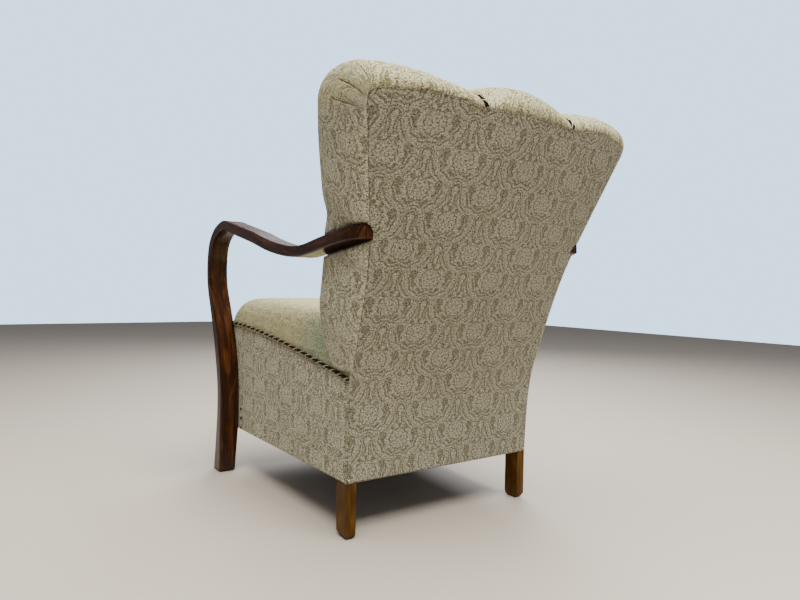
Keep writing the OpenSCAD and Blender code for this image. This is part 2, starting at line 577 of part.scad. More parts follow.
// Channels of the back: grids over the outside back, closer near the round edges
row_n = 14;
function channel_rows(x) = let (s = seam_at(x), c = crown_at(x)) concat(
    [for (j = [0:row_n]) lerp(pad_z0, s - wrap - 1, (1 - cos(180 * j / row_n)) / 2)],
    [s - wrap + 0.2, s + 0.1, s + 0.4], [for (j = [1:4]) lerp(s, c, sin(90 * j / 4))]);
outer_columns_at = function(z) let (m = half_mid(z) + gap, b = back_x(z), w = wide_x(z)) concat(
    [for (i = [0:11]) lerp(m, b - wrap - 1, 1 - pow(1 - i / 11, 1.3))],
    [b - wrap + 0.2, b + 0.1, b + 0.4], [for (i = [1:4]) lerp(b, w, sin(90 * i / 4))]);
mid_columns_at = function(z) let (m = half_mid(z) - gap) [for (i = [-7:7]) m * sin(90 * i / 7)];
function channel_grid(columns, last, front) = [for (j = [0:last]) let (
        z_ref = channel_rows(mid_x)[j], cols = columns(z_ref))
    [for (x = cols) let (z = channel_rows(x)[j]) over_back(x, z, front ? face_n(x, z) : rear_n(x, z))]];
module channel_solid(columns, last = row_n + 7) {
    skin(channel_grid(columns, last, true), channel_grid(columns, last, false));
}
module side_channel(side) {
    color([0.66, 0.6, 0.46]) placed() mirror([side < 0 ? 1 : 0, 0, 0]) difference() {
        channel_solid(outer_columns_at);
        arm_solid(gap);
    }
}
module channel_middle() { color([0.66, 0.6, 0.46]) placed() channel_solid(mid_columns_at); }

// Flat covers: side panels, front panel, outside back, dust cover
module side_panel(side) {
    slope = atan((side_x(front_y) - side_x(0)) / seat_d);
    y1 = lean_y(cord_z(0)) - cover_t - 2 * gap;
    zs = [for (k = [0:6]) lerp(box_z, cord_z(y1) - hessian_drop, k / 6)];
    ys = [for (k = [1:20]) lerp(y1, seat_y0 + cover_t + gap, k / 20)];
    color([0.7, 0.65, 0.5]) placed() mirror([side < 0 ? 1 : 0, 0, 0]) difference() {
        translate([side_x(0), 0, 0]) rotate([0, 0, slope]) translate([-cover_t, 0, 0])
            rotate([90, 0, 90]) linear_extrude(cover_t) polygon(concat(
                [[front_y + cover_t + gap, box_z]], [for (z = zs) [lean_y(z) - cover_t - 2 * gap, z]],
                [for (y = ys) [y, cord_z(y) - hessian_drop]]));
        leg_bolt_bores();
    }
}
module front_panel() {
    half = side_x(front_y) - gap;
    top = cord_front_z - hessian_drop;
    color([0.7, 0.65, 0.5]) placed() translate([-half, 0, 0]) rotate([90, 0, 90]) linear_extrude(2 * half)
        polygon([[front_y, box_z], [front_y + cover_t, box_z], [seat_y0 + cover_t, top], [seat_y0, top]]);
}
module outside_back() {
    low = 6;
    last = low + row_n + 1;
    function zs(x) = concat([for (k = [0:low - 1]) lerp(box_z, pad_z0, k / low)],
        [for (j = [0:row_n]) channel_rows(x)[j]], [seam_at(x)]);
    function share(k, m, b) = abs(k) < 6 ? m * k / 5 : sign(k) * lerp(m, b, sin(15 * (abs(k) - 5)));
    function row(j, n) = let (z_ref = zs(mid_x)[j]) [for (k = [-11:11]) let (
            x = share(k, half_mid(z_ref), back_x(z_ref)), z = zs(x)[j], p = corner_map(x, z))
        [p[0], outside_y(p[0], p[1]) - n * tilt_f, p[1] + n * tilt_n * ease((z - box_z) / 150)]];
    color([0.62, 0.56, 0.42]) placed() difference() {
        skin([for (j = [0:last]) row(j, cover_t)], [for (j = [0:last]) row(j, 0)]);
        both_sides() arm_solid(gap);
    }
}
module dust_cover() {
    color([0.2, 0.19, 0.17]) placed() translate([0, 0, box_z + 0.5]) linear_extrude(web_t - 1) polygon([
        [-side_x(front_y) + 20, front_y + 20], [side_x(front_y) - 20, front_y + 20],
        [side_x(-post_d) - 20, -post_d - 2], [rail_half - 4, -post_d - 2], [rail_half - 4, -3],
        [-rail_half + 4, -3], [-rail_half + 4, -post_d - 2], [-side_x(-post_d) + 20, -post_d - 2]]);
}

// Twisted cords over the seams
module seat_cord(side) {
    y0 = seat_y0 + 10;
    y1 = lean_y(cord_z(0)) - cover_t - 1;
    color([0.16, 0.12, 0.09]) placed() mirror([side < 0 ? 1 : 0, 0, 0])
        tube([for (k = [0:20]) let (y = lerp(y0, y1, k / 20)) [side_x(y) + cord_r + gap, y, cord_z(y)]],
            cord_r, 8, [0, 0, 1]);
}
module seat_cord_front() {
    half = side_x(front_y) - cord_d;
    y = seat_y0 - cord_r - gap;
    color([0.16, 0.12, 0.09]) placed()
        tube([for (k = [0:8]) [lerp(-half, half, k / 8), y, cord_z(front_y)]], cord_r, 8, [0, 0, 1]);
}
module channel_cord(side) {
    // up the valley between two channels, over the crest and down to the outside back
    r = cord_lift;
    z_seam = seam_at(mid_x);
    z_top = crown_at(mid_x);
    z_roll = z_top - roll_z;
    deep = face_n(half_mid(z_roll), z_roll);
    function at(z, n) = over_back(half_mid(min(z, z_top)), z, n);
    face = [for (k = [0:12]) let (z = lerp(cord_front_z + 40, z_roll, k / 12))
        at(z, face_n(half_mid(z), z) + r)];
    roll = [for (a = [15:15:90])
        at(z_roll + (roll_z + r) * sin(a), edge_top + (deep - edge_top + r) * cos(a))];
    over = [for (a = [75:-15:0])
        at(z_seam + (z_top - z_seam + r) * sin(a), edge_top - (edge_top + r) * cos(a))];
    color([0.16, 0.12, 0.09]) placed() mirror([side < 0 ? 1 : 0, 0, 0])
        tube(concat(face, roll, over), cord_r, 8, [1, 0, 0]);
}

// Black tacks beside the front legs and a bright nail at each lower rear corner
tack_r = 2.2;
tack_y = leg_y + foot_d / 2 - 1.5;
tack_x = max(side_x(tack_y - tack_r), side_x(tack_y + tack_r)) + 0.05;
module panel_tacks() {
    color([0.08, 0.07, 0.06]) placed() both_sides() for (k = [0:2])
        translate([tack_x, tack_y, box_z + cover_t + k * web_w / 2]) rotate([0, 90, 0])
            cylinder(h = 1.5, r1 = tack_r, r2 = 0.6 * tack_r);
}
module corner_nails() {
    color([0.75, 0.75, 0.72]) placed() both_sides()
        translate([back_x(box_z) - 6, lean_y(box_z + 9) + gap, box_z + 9]) rotate([-90, 0, 0])
            cylinder(h = 1.5, r1 = 3.5, r2 = 2);
}

arm(1);  // arm_left
arm(-1);  // arm_right
rear_leg(1);  // rear_leg_left
rear_leg(-1);  // rear_leg_right
foot_glides();
front_rail();
rear_rail();
side_rail(1);  // side_rail_left
side_rail(-1);  // side_rail_right
corner_blocks();
crest_rail();
lumbar_rail();
leg_bolts();
arm_screws();
seat_webbing();
seat_springs();
seat_hessian();
back_webbing();
back_hessian();
seat_pad();
side_channel(1);  // channel_left
channel_middle();
side_channel(-1);  // channel_right
side_panel(1);  // side_panel_left
side_panel(-1);  // side_panel_right
front_panel();
outside_back();
dust_cover();
seat_cord(1);  // seat_cord_left
seat_cord(-1);  // seat_cord_right
seat_cord_front();
channel_cord(1);  // channel_cord_left
channel_cord(-1);  // channel_cord_right
panel_tacks();
corner_nails();
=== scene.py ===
# %% [markdown]
# # A fireside chair, seen from behind
# The chair has bent walnut arms that run down into the front legs, a sprung seat and a flared
# back of three padded channels. A twisted cord follows the seams, and a tone-on-tone damask
# covers everything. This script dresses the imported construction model, piece by piece.
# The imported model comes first, as a fixed frame: each new piece is placed by its numbers.

# %% Load the frame
import math

import bmesh
import bpy
import numpy as np
from mathutils import Matrix


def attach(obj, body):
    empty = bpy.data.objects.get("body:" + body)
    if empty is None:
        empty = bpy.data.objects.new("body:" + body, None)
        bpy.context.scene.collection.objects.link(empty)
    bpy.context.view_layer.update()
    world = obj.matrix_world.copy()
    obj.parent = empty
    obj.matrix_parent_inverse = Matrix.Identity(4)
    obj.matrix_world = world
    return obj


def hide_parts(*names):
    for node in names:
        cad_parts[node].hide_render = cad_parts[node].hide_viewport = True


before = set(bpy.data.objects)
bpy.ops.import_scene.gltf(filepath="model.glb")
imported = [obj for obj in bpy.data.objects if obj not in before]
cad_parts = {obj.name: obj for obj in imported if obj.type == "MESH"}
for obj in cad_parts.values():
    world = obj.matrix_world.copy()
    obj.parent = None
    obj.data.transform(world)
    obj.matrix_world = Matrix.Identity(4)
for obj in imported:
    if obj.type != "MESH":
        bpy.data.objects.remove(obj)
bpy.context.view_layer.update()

# %% [markdown]
# ## The camera
# The photograph looks at the chair from behind and to its left, from half a metre above the
# floor. A camera matrix could be found by trial; this one was solved from the chair's own right
# angles and mirrored pairs, so it is written as three angles, a place and a focal length.

# %% Camera
CAMERA_AT = (0.8186, 1.2386, 0.5)
LOOK_TURN, LOOK_DOWN, LOOK_ROLL = (math.radians(a) for a in (34.2209, 1.0752, 1.1424))
FOCAL_PX, IMAGE_W, SENSOR_MM = 595.0, 800, 36.0


def stand(name, data, axes, at):
    """Adds an object whose own x, y and z run along three axes, at a point."""
    place = np.eye(4)
    place[:3, :3], place[:3, 3] = np.transpose(axes), at
    thing = bpy.data.objects.new(name, data)
    thing.matrix_world = Matrix(place.tolist())
    bpy.context.scene.collection.objects.link(thing)
    return thing


level = np.array([-math.sin(LOOK_TURN), -math.cos(LOOK_TURN), 0.0])
right = np.array([-math.cos(LOOK_TURN), math.sin(LOOK_TURN), 0.0])
forward = level * math.cos(LOOK_DOWN) - np.array([0, 0, math.sin(LOOK_DOWN)])
up = np.cross(right, forward)
cam_x = right * math.cos(LOOK_ROLL) + up * math.sin(LOOK_ROLL)
cam_y = up * math.cos(LOOK_ROLL) - right * math.sin(LOOK_ROLL)

camera = stand("camera", bpy.data.cameras.new("camera"), (cam_x, cam_y, -forward), CAMERA_AT)
camera.data.sensor_width = SENSOR_MM
camera.data.lens = FOCAL_PX / IMAGE_W * SENSOR_MM
bpy.context.scene.camera = camera
print("lens", round(camera.data.lens, 2), "mm")

# %% [markdown]
# ## The chair's shape in formulas
# The upholstery could be sculpted, but a sculpted form is hard to keep in step with the frame.
# Here the construction model's own formulas are written again for whole numpy arrays, in
# millimetres. `x` is the distance from the chair's middle plane, `z` the height above the floor,
# and `y` is measured from the back of the rear legs until `to_frame` shifts it.

# %% Sizes of the seat box, the back and the arms
SHIFT_Y = 213.526  # from the formulas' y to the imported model's
BOX_Z, BOX_REAR_W, BOX_FRONT_W, SEAT_D = 113.0, 493.0, 544.0, 582.0
CORD_FRONT_Z, CORD_DROP, SEAT_Z, COVER_T = 398.0, 78.0, 470.0, 6.0
FRONT_LEAN, SEAM_DROP = 18.0, 8.0
SEAM_Z, LEAN, BEND_Z, WAIST_W, WAIST_Z = 818.0, math.radians(20.4), 294.0, 510.0, 540.0
FLARE, BACK_BOW, PAD_LOW, PAD_HIGH = math.radians(14.6), 40.0, 140.0, 192.0
PAD_BULGE, MID_TOP, MID_LOW, VALLEY = 26.0, 226.0, 176.0, 26.0
ARM_Z, ARM_END_Z, ARM_DIP_Z, ARM_W, ARM_END_W = 671.0, 601.0, 573.0, 50.0, 45.0
FOOT_W, FOOT_D, BAND_T, GLIDE_T, CORD_D, CREST_H = 43.5, 47.0, 23.0, 3.0, 7.0, 72.0
BEND_R, FLARE_R, HEEL, WRAP, GAP = 80.0, 60.0, 7.0, 9.0, 0.3
MID_HUMP, OUTER_HUMP, HUMP_TURN, GROOVE_W = 5.0, 12.0, math.radians(165), 7.0
RIM_RISE, MID_CROWN, OUTER_CROWN, PAD_LIFT, RAKE_H = 20.0, 16.0, 18.0, 14.0, 110.0
FRONT_Y, SEAT_Y0, LEG_Y = -SEAT_D, -SEAT_D - FRONT_LEAN, -SEAT_D + 20
TILT_N, TILT_F = math.sin(LEAN), math.cos(LEAN)
CREST_Z0 = SEAM_Z - WRAP - CREST_H * TILT_F


def lerp(a, b, t):
    """Goes from a at t = 0 to b at t = 1."""
    return a + (b - a) * t


def clip(t):
    """Keeps t between 0 and 1."""
    return np.clip(t, 0.0, 1.0)


def ease(t):
    """Rises from 0 to 1 with level ends: t squared times (3 - 2 t)."""
    c = clip(t)
    return c * c * (3 - 2 * c)


def soft(d, r):
    """A ramp that bends softly from 0 into the slope 1 at d = 0."""
    return (d + np.sqrt(d * d + r * r)) / 2


def bump(d, width):
    """A bell: 1 at d = 0, falling to a third at d = width."""
    return np.exp(-(d / width) ** 2)


def rounded(q):
    """A quarter of an ellipse: 0 at q = 0, 1 from q = 1 on."""
    return np.sqrt(1 - (1 - clip(q)) ** 2)


def to_disc(p, q):
    """Maps a square of two sines to a quarter of a disc."""
    return p * np.sqrt(1 - q ** 2 / 2), q * np.sqrt(1 - p ** 2 / 2)


def round_end(even, steps):
    """The shares of a straight run, then 1 for every step of a rounded end; and the sine of each
    step's angle, which is 0 along the run."""
    angle = np.linspace(0, np.pi / 2, steps + 1)[1:]
    return (np.concatenate([even, np.ones(steps)]),
            np.concatenate([np.zeros(len(even)), np.sin(angle)]))


# %% The seat box and the outside back
def side_x(y):
    """Half width of the seat box: a straight line from front to rear."""
    return lerp(BOX_FRONT_W, BOX_REAR_W, (y - FRONT_Y) / SEAT_D) / 2


def cord_z(y):
    """Height of the corded seam: level at the front, dropping with the power 1.5 to the rear."""
    return CORD_FRONT_Z - CORD_DROP * clip((y - FRONT_Y) / (SEAT_D + 20)) ** 1.5


def lean_y(z):
    """The back's rake: upright below the bend, then leaning by LEAN."""
    return HEEL + math.tan(LEAN) * soft(z - BEND_Z, BEND_R)


def back_x(z):
    """Half width of the outside back: straight to the waist, then flaring by FLARE."""
    straight = lerp(BOX_REAR_W, WAIST_W, (z - BOX_Z) / (WAIST_Z - BOX_Z)) / 2
    return straight + math.tan(FLARE) * soft(z - WAIST_Z, FLARE_R)


def bow_at(z):
    """Depth of the back's bow: it grows with the power 1.2 of the height."""
    return BACK_BOW * np.clip((z - BOX_Z) / (CREST_Z0 - BOX_Z), 0, 2) ** 1.2


def outside_y(x, z):
    """The outside back: the rake plus the bow, which fades to the sides as a parabola."""
    return lean_y(z) + bow_at(z) * (1 - (x / back_x(z)) ** 2)


def half_mid(z):
    """Half width of the middle channel, wider towards the crest."""
    return lerp(MID_LOW, MID_TOP, (z - CORD_FRONT_Z) / (SEAM_Z - CORD_FRONT_Z)) / 2


MID_X, TOP_X = float(half_mid(SEAM_Z)), float(back_x(SEAM_Z))
PAD_Z0 = float(cord_z(0.0)) + PAD_LIFT


def outer_share(x):
    """0 at the valley beside the middle channel, 1 at the side of the back."""
    return clip((np.abs(x) - MID_X) / (TOP_X - MID_X))


def seam_at(x):
    """Height of the seam along the top of the outside back: a hump over each channel."""
    middle = MID_HUMP * np.cos(np.pi / 2 * clip(np.abs(x) / MID_X))
    outer = OUTER_HUMP * np.sin(HUMP_TURN * outer_share(x))
    return SEAM_Z + np.where(np.abs(x) < MID_X, middle, outer)


def crown_at(x):
    """Height of the channels' upper rim, measured in the outside back's own plane."""
    middle = MID_CROWN * np.cos(np.pi / 2 * clip(np.abs(x) / MID_X))
    outer = OUTER_CROWN * outer_share(x) ** 2
    groove = 5 * bump(np.abs(x) - MID_X, GROOVE_W)
    return seam_at(x) + RIM_RISE - groove + np.where(np.abs(x) < MID_X, middle, outer)


def wide_x(z):
    """Half width over the channels: they bulge past the outside back, less near the arms."""
    dent = 1 - 0.25 * bump(z - ARM_END_Z + 8, 24)
    return back_x(z) + PAD_BULGE * lerp(0.2, 1.0, ease((z - PAD_Z0) / 100)) * dent


def points_of(x, y, z):
    """Three arrays or numbers as one array of points."""
    return np.stack(np.broadcast_arrays(x, y, z), -1)


def to_frame(points):
    """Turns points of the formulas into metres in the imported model's frame."""
    return (points + (0, SHIFT_Y, 0)) / 1000


print("half width at the seam", round(TOP_X, 1), "mm, channels start at", round(PAD_Z0, 1), "mm")

# %% [markdown]
# ## From grids to meshes
# A cover is a sheet: its natural form is a grid of points with a flat pattern laid on it. A small
# set of helpers turns grids into closed meshes, welds the patches of one piece along their shared
# edges and measures each patch along its own rows and columns, so that the weave keeps its scale
# where the cover bends.


# %% Grid helpers
def flat_lengths(grid, column=None):
    """The flat pattern of a grid: u is the length along each row from one column, and v the
    length along each column from the first row, both in metres."""
    column = grid.shape[1] // 2 if column is None else column
    du, dv = (np.linalg.norm(np.diff(grid, axis=k), axis=2) for k in (1, 0))
    u = np.pad(np.cumsum(du, axis=1), ((0, 0), (1, 0)))
    v = np.pad(np.cumsum(dv, axis=0), ((1, 0), (0, 0)))
    return np.stack([u - u[:, column:column + 1], v], -1)


def grid_quads(rows, columns, start=0):
    """The four corners of every cell of a grid, numbered row by row from start."""
    a = (np.arange(rows - 1)[:, None] * columns + np.arange(columns - 1)[None, :]).ravel() + start
    return np.stack([a, a + 1, a + columns + 1, a + columns], -1)


def raw_mesh(name, points, quads, uv, paint):
    """Puts arrays of points, four-cornered faces, flat coordinates per point and material numbers
    per face into a mesh."""
    mesh = bpy.data.meshes.new(name)
    mesh.vertices.add(len(points))
    mesh.vertices.foreach_set("co", np.asarray(points, np.float32).ravel())
    mesh.loops.add(quads.size)
    mesh.loops.foreach_set("vertex_index", quads.astype(np.int32).ravel())
    mesh.polygons.add(len(quads))
    mesh.polygons.foreach_set("loop_start", np.arange(0, quads.size, 4, dtype=np.int32))
    layer = mesh.uv_layers.new(name="flat")
    layer.data.foreach_set("uv", np.asarray(uv, np.float32)[quads.ravel()].ravel())
    mesh.polygons.foreach_set("material_index", paint.astype(np.int32))
    mesh.update(calc_edges=True)
    return mesh


def weld(name, patches, paint=None, near=2e-5):
    """One closed piece from grids that share their edges: (points, flat coordinates) each.
    Doubled points are merged, empty faces dissolved, and every face is turned outwards."""
    starts = np.cumsum([0] + [grid[..., 0].size for grid, _ in patches])
    quads = [grid_quads(*grid.shape[:2], start) for (grid, _), start in zip(patches, starts)]
    marks = np.repeat(paint or [0] * len(patches), [len(some) for some in quads])
    mesh = raw_mesh(name, np.concatenate([grid.reshape(-1, 3) for grid, _ in patches]),
                    np.concatenate(quads),
                    np.concatenate([flat.reshape(-1, 2) for _, flat in patches]), marks)
    bm = bmesh.new()
    bm.from_mesh(mesh)
    bmesh.ops.remove_doubles(bm, verts=bm.verts, dist=near)
    bmesh.ops.dissolve_degenerate(bm, edges=bm.edges, dist=near / 2)
    bmesh.ops.recalc_face_normals(bm, faces=bm.faces)
    open_edges = sum(e.is_boundary for e in bm.edges)
    if bm.calc_volume(signed=True) < 0:
        bmesh.ops.reverse_faces(bm, faces=bm.faces)
    bm.to_mesh(mesh)
    bm.free()
    mesh.polygons.foreach_set("use_smooth", np.ones(len(mesh.polygons), bool))
    piece = bpy.data.objects.new(name, mesh)
    bpy.context.scene.collection.objects.link(piece)
    print(name, len(mesh.polygons), "faces,", open_edges, "open edges")
    return piece


def both_sides(patches):
    """A piece's patches for the left side, and the same ones mirrored for the right."""
    return {"left": patches,
            "right": [(grid * (-1, 1, 1), flat * (-1, 1)) for grid, flat in patches]}


def unit(vectors):
    """The same directions with length 1."""
    return vectors / np.linalg.norm(vectors, axis=-1, keepdims=True)


def across(rows_a, rows_b, steps=1):
    """A grid that spans straight from one line of points to another."""
    t = np.linspace(0, 1, steps + 1)[:, None, None]
    return rows_a[None] * (1 - t) + rows_b[None] * t


def dress(piece, finishes, replaced=()):
    """Gives a piece its materials, parents it to the CAD body root, and hides the imported nodes
    it stands for.
    """
    for finish in finishes:
        piece.data.materials.append(finish)
    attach(piece, "root")
    if replaced:
        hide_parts(*replaced)
    return piece


# %% [markdown]
# ## Shader maths as Python
# A damask and a polished walnut both need long formulas. Wiring them by hand hides the idea, so a
# socket is wrapped in a small class whose operators add the Math nodes, and every other node
# comes from one method.


# %% Sockets that can be added and multiplied
def math_node(operation, swap=False):
    """A method that adds one Math node, with its terms swapped for a reflected operator."""
    def add_node(self, *others):
        terms = (*others, self) if swap else (self, *others)
        return self.finish.node("ShaderNodeMath", {"operation": operation}, dict(enumerate(terms)))
    return add_node


class Value:
    """A number that varies over the surface. Python's operators add Math nodes to its tree.
    a.above(b) is the larger of the two, and a.angle(b) the angle of the point (b, a)."""

    def __init__(self, finish, socket):
        self.finish, self.socket = finish, socket

    __add__ = __radd__ = math_node("ADD")
    __mul__ = __rmul__ = math_node("MULTIPLY")
    __sub__, __rsub__ = math_node("SUBTRACT"), math_node("SUBTRACT", swap=True)
    __truediv__, __abs__ = math_node("DIVIDE"), math_node("ABSOLUTE")
    power, sin, cos = math_node("POWER"), math_node("SINE"), math_node("COSINE")
    above, is_less, angle = (math_node(o) for o in ("MAXIMUM", "LESS_THAN", "ARCTAN2"))

    def wrap(self, period):
        """The distance to the nearest multiple of the period, with its sign."""
        return math_node("WRAP")(self, period / 2, -period / 2)

    def clipped(self):
        """The value kept between 0 and 1."""
        return self.finish.node("ShaderNodeClamp", {}, {"Value": self})


def wave(run, pitch):
    """A sine that repeats with the pitch."""
    return (run * (2 * math.pi / pitch)).sin()


def root_of_squares(a, b):
    """The length of the vector (a, b)."""
    return (a * a + b * b).power(0.5)


class Finish:
    """A material, its node tree and its Principled shader."""

    def __init__(self, name, **constants):
        self.material = bpy.data.materials.new(name)
        self.material.use_nodes = True
        self.tree = self.material.node_tree
        self.shader = self.tree.nodes["Principled BSDF"]
        for socket, value in constants.items():
            self.shader.inputs[socket.replace("_", " ")].default_value = value

    def node(self, kind, settings=None, sockets=None, output=0):
        """Adds a node: its settings first, then the values or links of its sockets."""
        made = self.tree.nodes.new(kind)
        for key, value in (settings or {}).items():
            if key != "stops":
                setattr(made, key, value)
                continue
            stops = made.color_ramp.elements
            for k, (at, colour) in enumerate(value):
                stop = stops[k] if k < len(stops) else stops.new(at)
                stop.position, stop.color = at, (*colour, 1.0)
        for key, value in (sockets or {}).items():
            self.feed(made.inputs[key], value)
        return Value(self, made.outputs[output])

    def feed(self, socket, value):
        if isinstance(value, Value):
            self.tree.links.new(value.socket, socket)
        elif socket.type == "RGBA" and len(value) == 3:
            socket.default_value = (*value, 1.0)
        else:
            socket.default_value = value

    def set(self, **sockets):
        """Links values to the Principled shader's own sockets."""
        for key, value in sockets.items():
            self.feed(self.shader.inputs[key.replace("_", " ")], value)
        return self.material

    def parts(self, vector):
        """The three parts of a vector."""
        split = self.node("ShaderNodeSeparateXYZ", {}, {0: vector})
        return [Value(self, part) for part in split.socket.node.outputs]

    def flat_mm(self):
        """The piece's own flat pattern coordinates, in millimetres, as two values."""
        flat = self.node("ShaderNodeUVMap", {"uv_map": "flat"})
        return [part * 1000.0 for part in self.parts(flat)[:2]]

    def place(self):
        """Object coordinates: the point in the chair's frame, in metres, and its three parts."""
        point = self.node("ShaderNodeTexCoord", output="Object")
        return point, self.parts(point)

    def vector(self, x, y, z=0.0):
        return self.node("ShaderNodeCombineXYZ", {}, {0: x, 1: y, 2: z})

    def noise(self, vector, scale, detail=2.0, roughness=0.5, distortion=0.0):
        return self.node("ShaderNodeTexNoise", {}, {
            "Vector": vector, "Scale": scale, "Detail": detail, "Roughness": roughness,
            "Distortion": distortion})

    def uneven(self, *noise):
        """Noise about 0 instead of a half."""
        return self.noise(*noise) - 0.5

    def mix(self, amount, one, other, blend="MIX"):
        """A colour between one and other."""
        return self.node("ShaderNodeMix", {"data_type": "RGBA", "blend_type": blend},
                         {0: amount, 6: one, 7: other}, output=2)

    def relief(self, height, depth, strength=1.0, under=None):
        """A bump whose full height is depth metres, over another bump if there is one."""
        sockets = {"Height": height, "Distance": depth, "Strength": strength}
        if under is not None:
            sockets["Normal"] = under
        return self.node("ShaderNodeBump", {}, sockets)


# %% [markdown]
# ## The damask
# The cover is a traditional damask: small round flowers in half-drop rows, each with two bosses
# and a garland of leaves, and a tulip between every two. An image would be the quick way, but a
# drawing made of distances stays sharp at any size. Each motif is a disc or a band, in
# millimetres of cloth, and the half drop means that only the nearest flower has to be drawn.

# %% The drawing of one flower and one tulip
REPEAT_W, REPEAT_H = 150.5, 115.0


def inside(distance, blur=1.2):
    """1 where a signed distance is below 0, with an edge as wide as blur."""
    return (0.5 - distance / blur).clipped()


def band(distance, middle, half):
    """1 on a line along which the distance is about middle."""
    return inside(abs(distance - middle) - half)


def nearest(x, y, shift):
    """Coordinates from the nearest centre of the half-drop lattice, folded about its middle."""
    ax, ay = (x - shift).wrap(REPEAT_W), y.wrap(REPEAT_H)
    bx, by = (x - shift - REPEAT_W / 2).wrap(REPEAT_W), (y - REPEAT_H / 2).wrap(REPEAT_H)
    near_a = root_of_squares(ax / REPEAT_W, ay / REPEAT_H)
    near_b = root_of_squares(bx / REPEAT_W, by / REPEAT_H)
    pick = near_a.is_less(near_b)
    return abs(bx + (ax - bx) * pick), by + (ay - by) * pick


def garland(dx, dy):
    """The leafy rounds under a flower: scalloped bands that are wider than high and rise to a
    point in the middle, bold ones first, then a thin dashed one, a strong rim and an echo."""
    turn = dx.angle(dy)
    wide = root_of_squares(dx * 0.78, dy) + (7.0 - abs(dx) * 0.6).above(0.0)
    leafy = wide + abs((turn * 6.0).sin()) * 3.4
    leaves = band(leafy, 30.5, 3.1) * inside(0.35 - abs((turn * 3.0).sin()), 0.3)
    dashes = band(wide, 43.5, 0.9) * inside(abs((turn * 21.0).sin()) - 0.75)
    rim = band(wide, 48.0, 1.6).above(band(wide, 54.5, 1.0))
    return leaves.above(band(leafy, 38.5, 1.8)).above(dashes).above(rim)


def swags(fx, fy, r):
    """The garland below each flower, and above it the ends of the neighbours' garlands."""
    own = garland(fx, fy) * inside(fy - 7.0, 3.0) * inside(24.0 - r)
    ends = garland(fx - REPEAT_W / 2, fy - REPEAT_H / 2) * inside(7.0 - fy, 3.0)
    return own.above(ends)


def tulip_over(lines, tx, ty):
    """A light tulip with a bold outline and a roof of lines, on a stalk between two veins."""
    head = root_of_squares(tx * 1.25, ty - 5.0) - 8.0 + abs(ty - 5.0) * 0.12
    near = inside(head - 13.0) * inside(-4.0 - ty, 2.0)
    roof = band(head, 3.2, 2.8).above(band(head, 9.8, 1.4))
    lines = lines * (1.0 - near) + roof * near
    foot = inside(abs(tx) - 11.0) * inside(ty + 2.0) * inside(-26.0 - ty)
    stalk = band(tx - (ty + 14.0) * (ty + 14.0) * 0.014, 4.2, 2.0)
    return lines * (1.0 - foot) + stalk.above(band(tx, 9.5, 1.1)) * foot


def flower_head(fx, fy, r):
    """A scalloped rim, two rounds of dots, a bar, and a crown of three dark petals."""
    turn = fx.angle(fy)
    rim = band(r - (turn * 12.0).cos() * 1.4, 21.5, 1.7)
    dots = inside(root_of_squares(r - 8.5, turn.wrap(math.pi / 3) * 8.5) - 1.8)
    more = inside(root_of_squares(r - 15.0, (turn + 0.3).wrap(math.pi / 6) * 15.0) - 1.7)
    bar = inside(root_of_squares((fx - 5.0) * 0.6, fy - 1.0) - 1.7)
    crown = inside(root_of_squares(r - 28.5, turn.wrap(0.60) * 28.5) - 4.6)
    return rim.above(dots).above(more).above(bar).above(crown * inside(turn - 0.95, 0.1))


def damask(x, y):
    """The figure of the cloth: 1 on the drawn motifs, 0 on the ground. Each flower has a boss and
    a leaf on either side, with a light ring round the boss and a light bead between them."""
    fx, fy = nearest(x, y, 0.0)
    tx, ty = nearest(x, y, REPEAT_W / 2)
    r = root_of_squares(fx, fy)
    lines = tulip_over(swags(fx, fy, r), tx, ty).above(flower_head(fx, fy, r))
    from_boss = root_of_squares(fx - 38.5, fy - 9.0)
    comma = inside(abs(r - 38.0) - (fy + 24.0) * 0.16) * inside(fy - 12.0) * inside(-24.0 - fy)
    veins = inside(abs((fx + fy * 0.7).wrap(5.5)) - 0.8) * 0.4
    solid = inside(from_boss - 9.2).above(comma) * (1.0 - veins)
    halo = band(from_boss, 11.6, 1.3) * inside(3.0 - fy) * 0.8
    bead = inside(root_of_squares(fx - 30.0, fy + 3.5) - 4.4)
    return lines.above(solid) * (1.0 - bead) * (1.0 - halo)


# %% [markdown]
# The figure is woven, not printed: it lies a little lower than the ground, its edges follow the
# threads, and the whole cloth is flecked by uneven yarn. So the drawing drives the colour and the
# relief together, and fine noise moves the drawing before it is sampled.


# %% The cover material
WEAVE_PITCH, STITCH_PITCH = 1.5, 13.0
# WARM_LIGHT_TINT is painted warm light: it tints the crest yellow.
WARM_LIGHT_TINT, THREAD = (0.96, 0.93, 0.76), (0.05, 0.035, 0.02)


def stitches(px, pz, u, v, wander, wander_2, ragged):
    """Dashed thread along the sides and the scalloped top of the outside back: the half width
    and the height of the seam as back_x and seam_at have them, written as shader maths."""
    aside, high = abs(px) * 1000.0, pz * 1000.0 - WAIST_Z
    slope = (WAIST_W - BOX_REAR_W) / (WAIST_Z - BOX_Z) / 2
    half = high * slope + WAIST_W / 2 + (high + root_of_squares(high, FLARE_R)) * (
        math.tan(FLARE) / 2)
    humps = ((aside / MID_X).clipped() * (math.pi / 2)).cos() * MID_HUMP + (
        ((aside - MID_X) / (TOP_X - MID_X)).clipped() * HUMP_TURN).sin() * OUTER_HUMP
    from_edge = half - aside - 2.6 + wander * 5.0
    from_top = humps + (SEAM_Z - WAIST_Z - 4.5) - high + wander_2 * 5.0
    up, along = (((run * (2 * math.pi / STITCH_PITCH) + ragged * 9.0).sin() * 1.6 + 0.9).clipped()
                 for run in (v, u))
    return (inside(abs(from_edge) - 0.7, 0.9) * up).above(
        inside(abs(from_top) - 1.0, 0.9) * along)


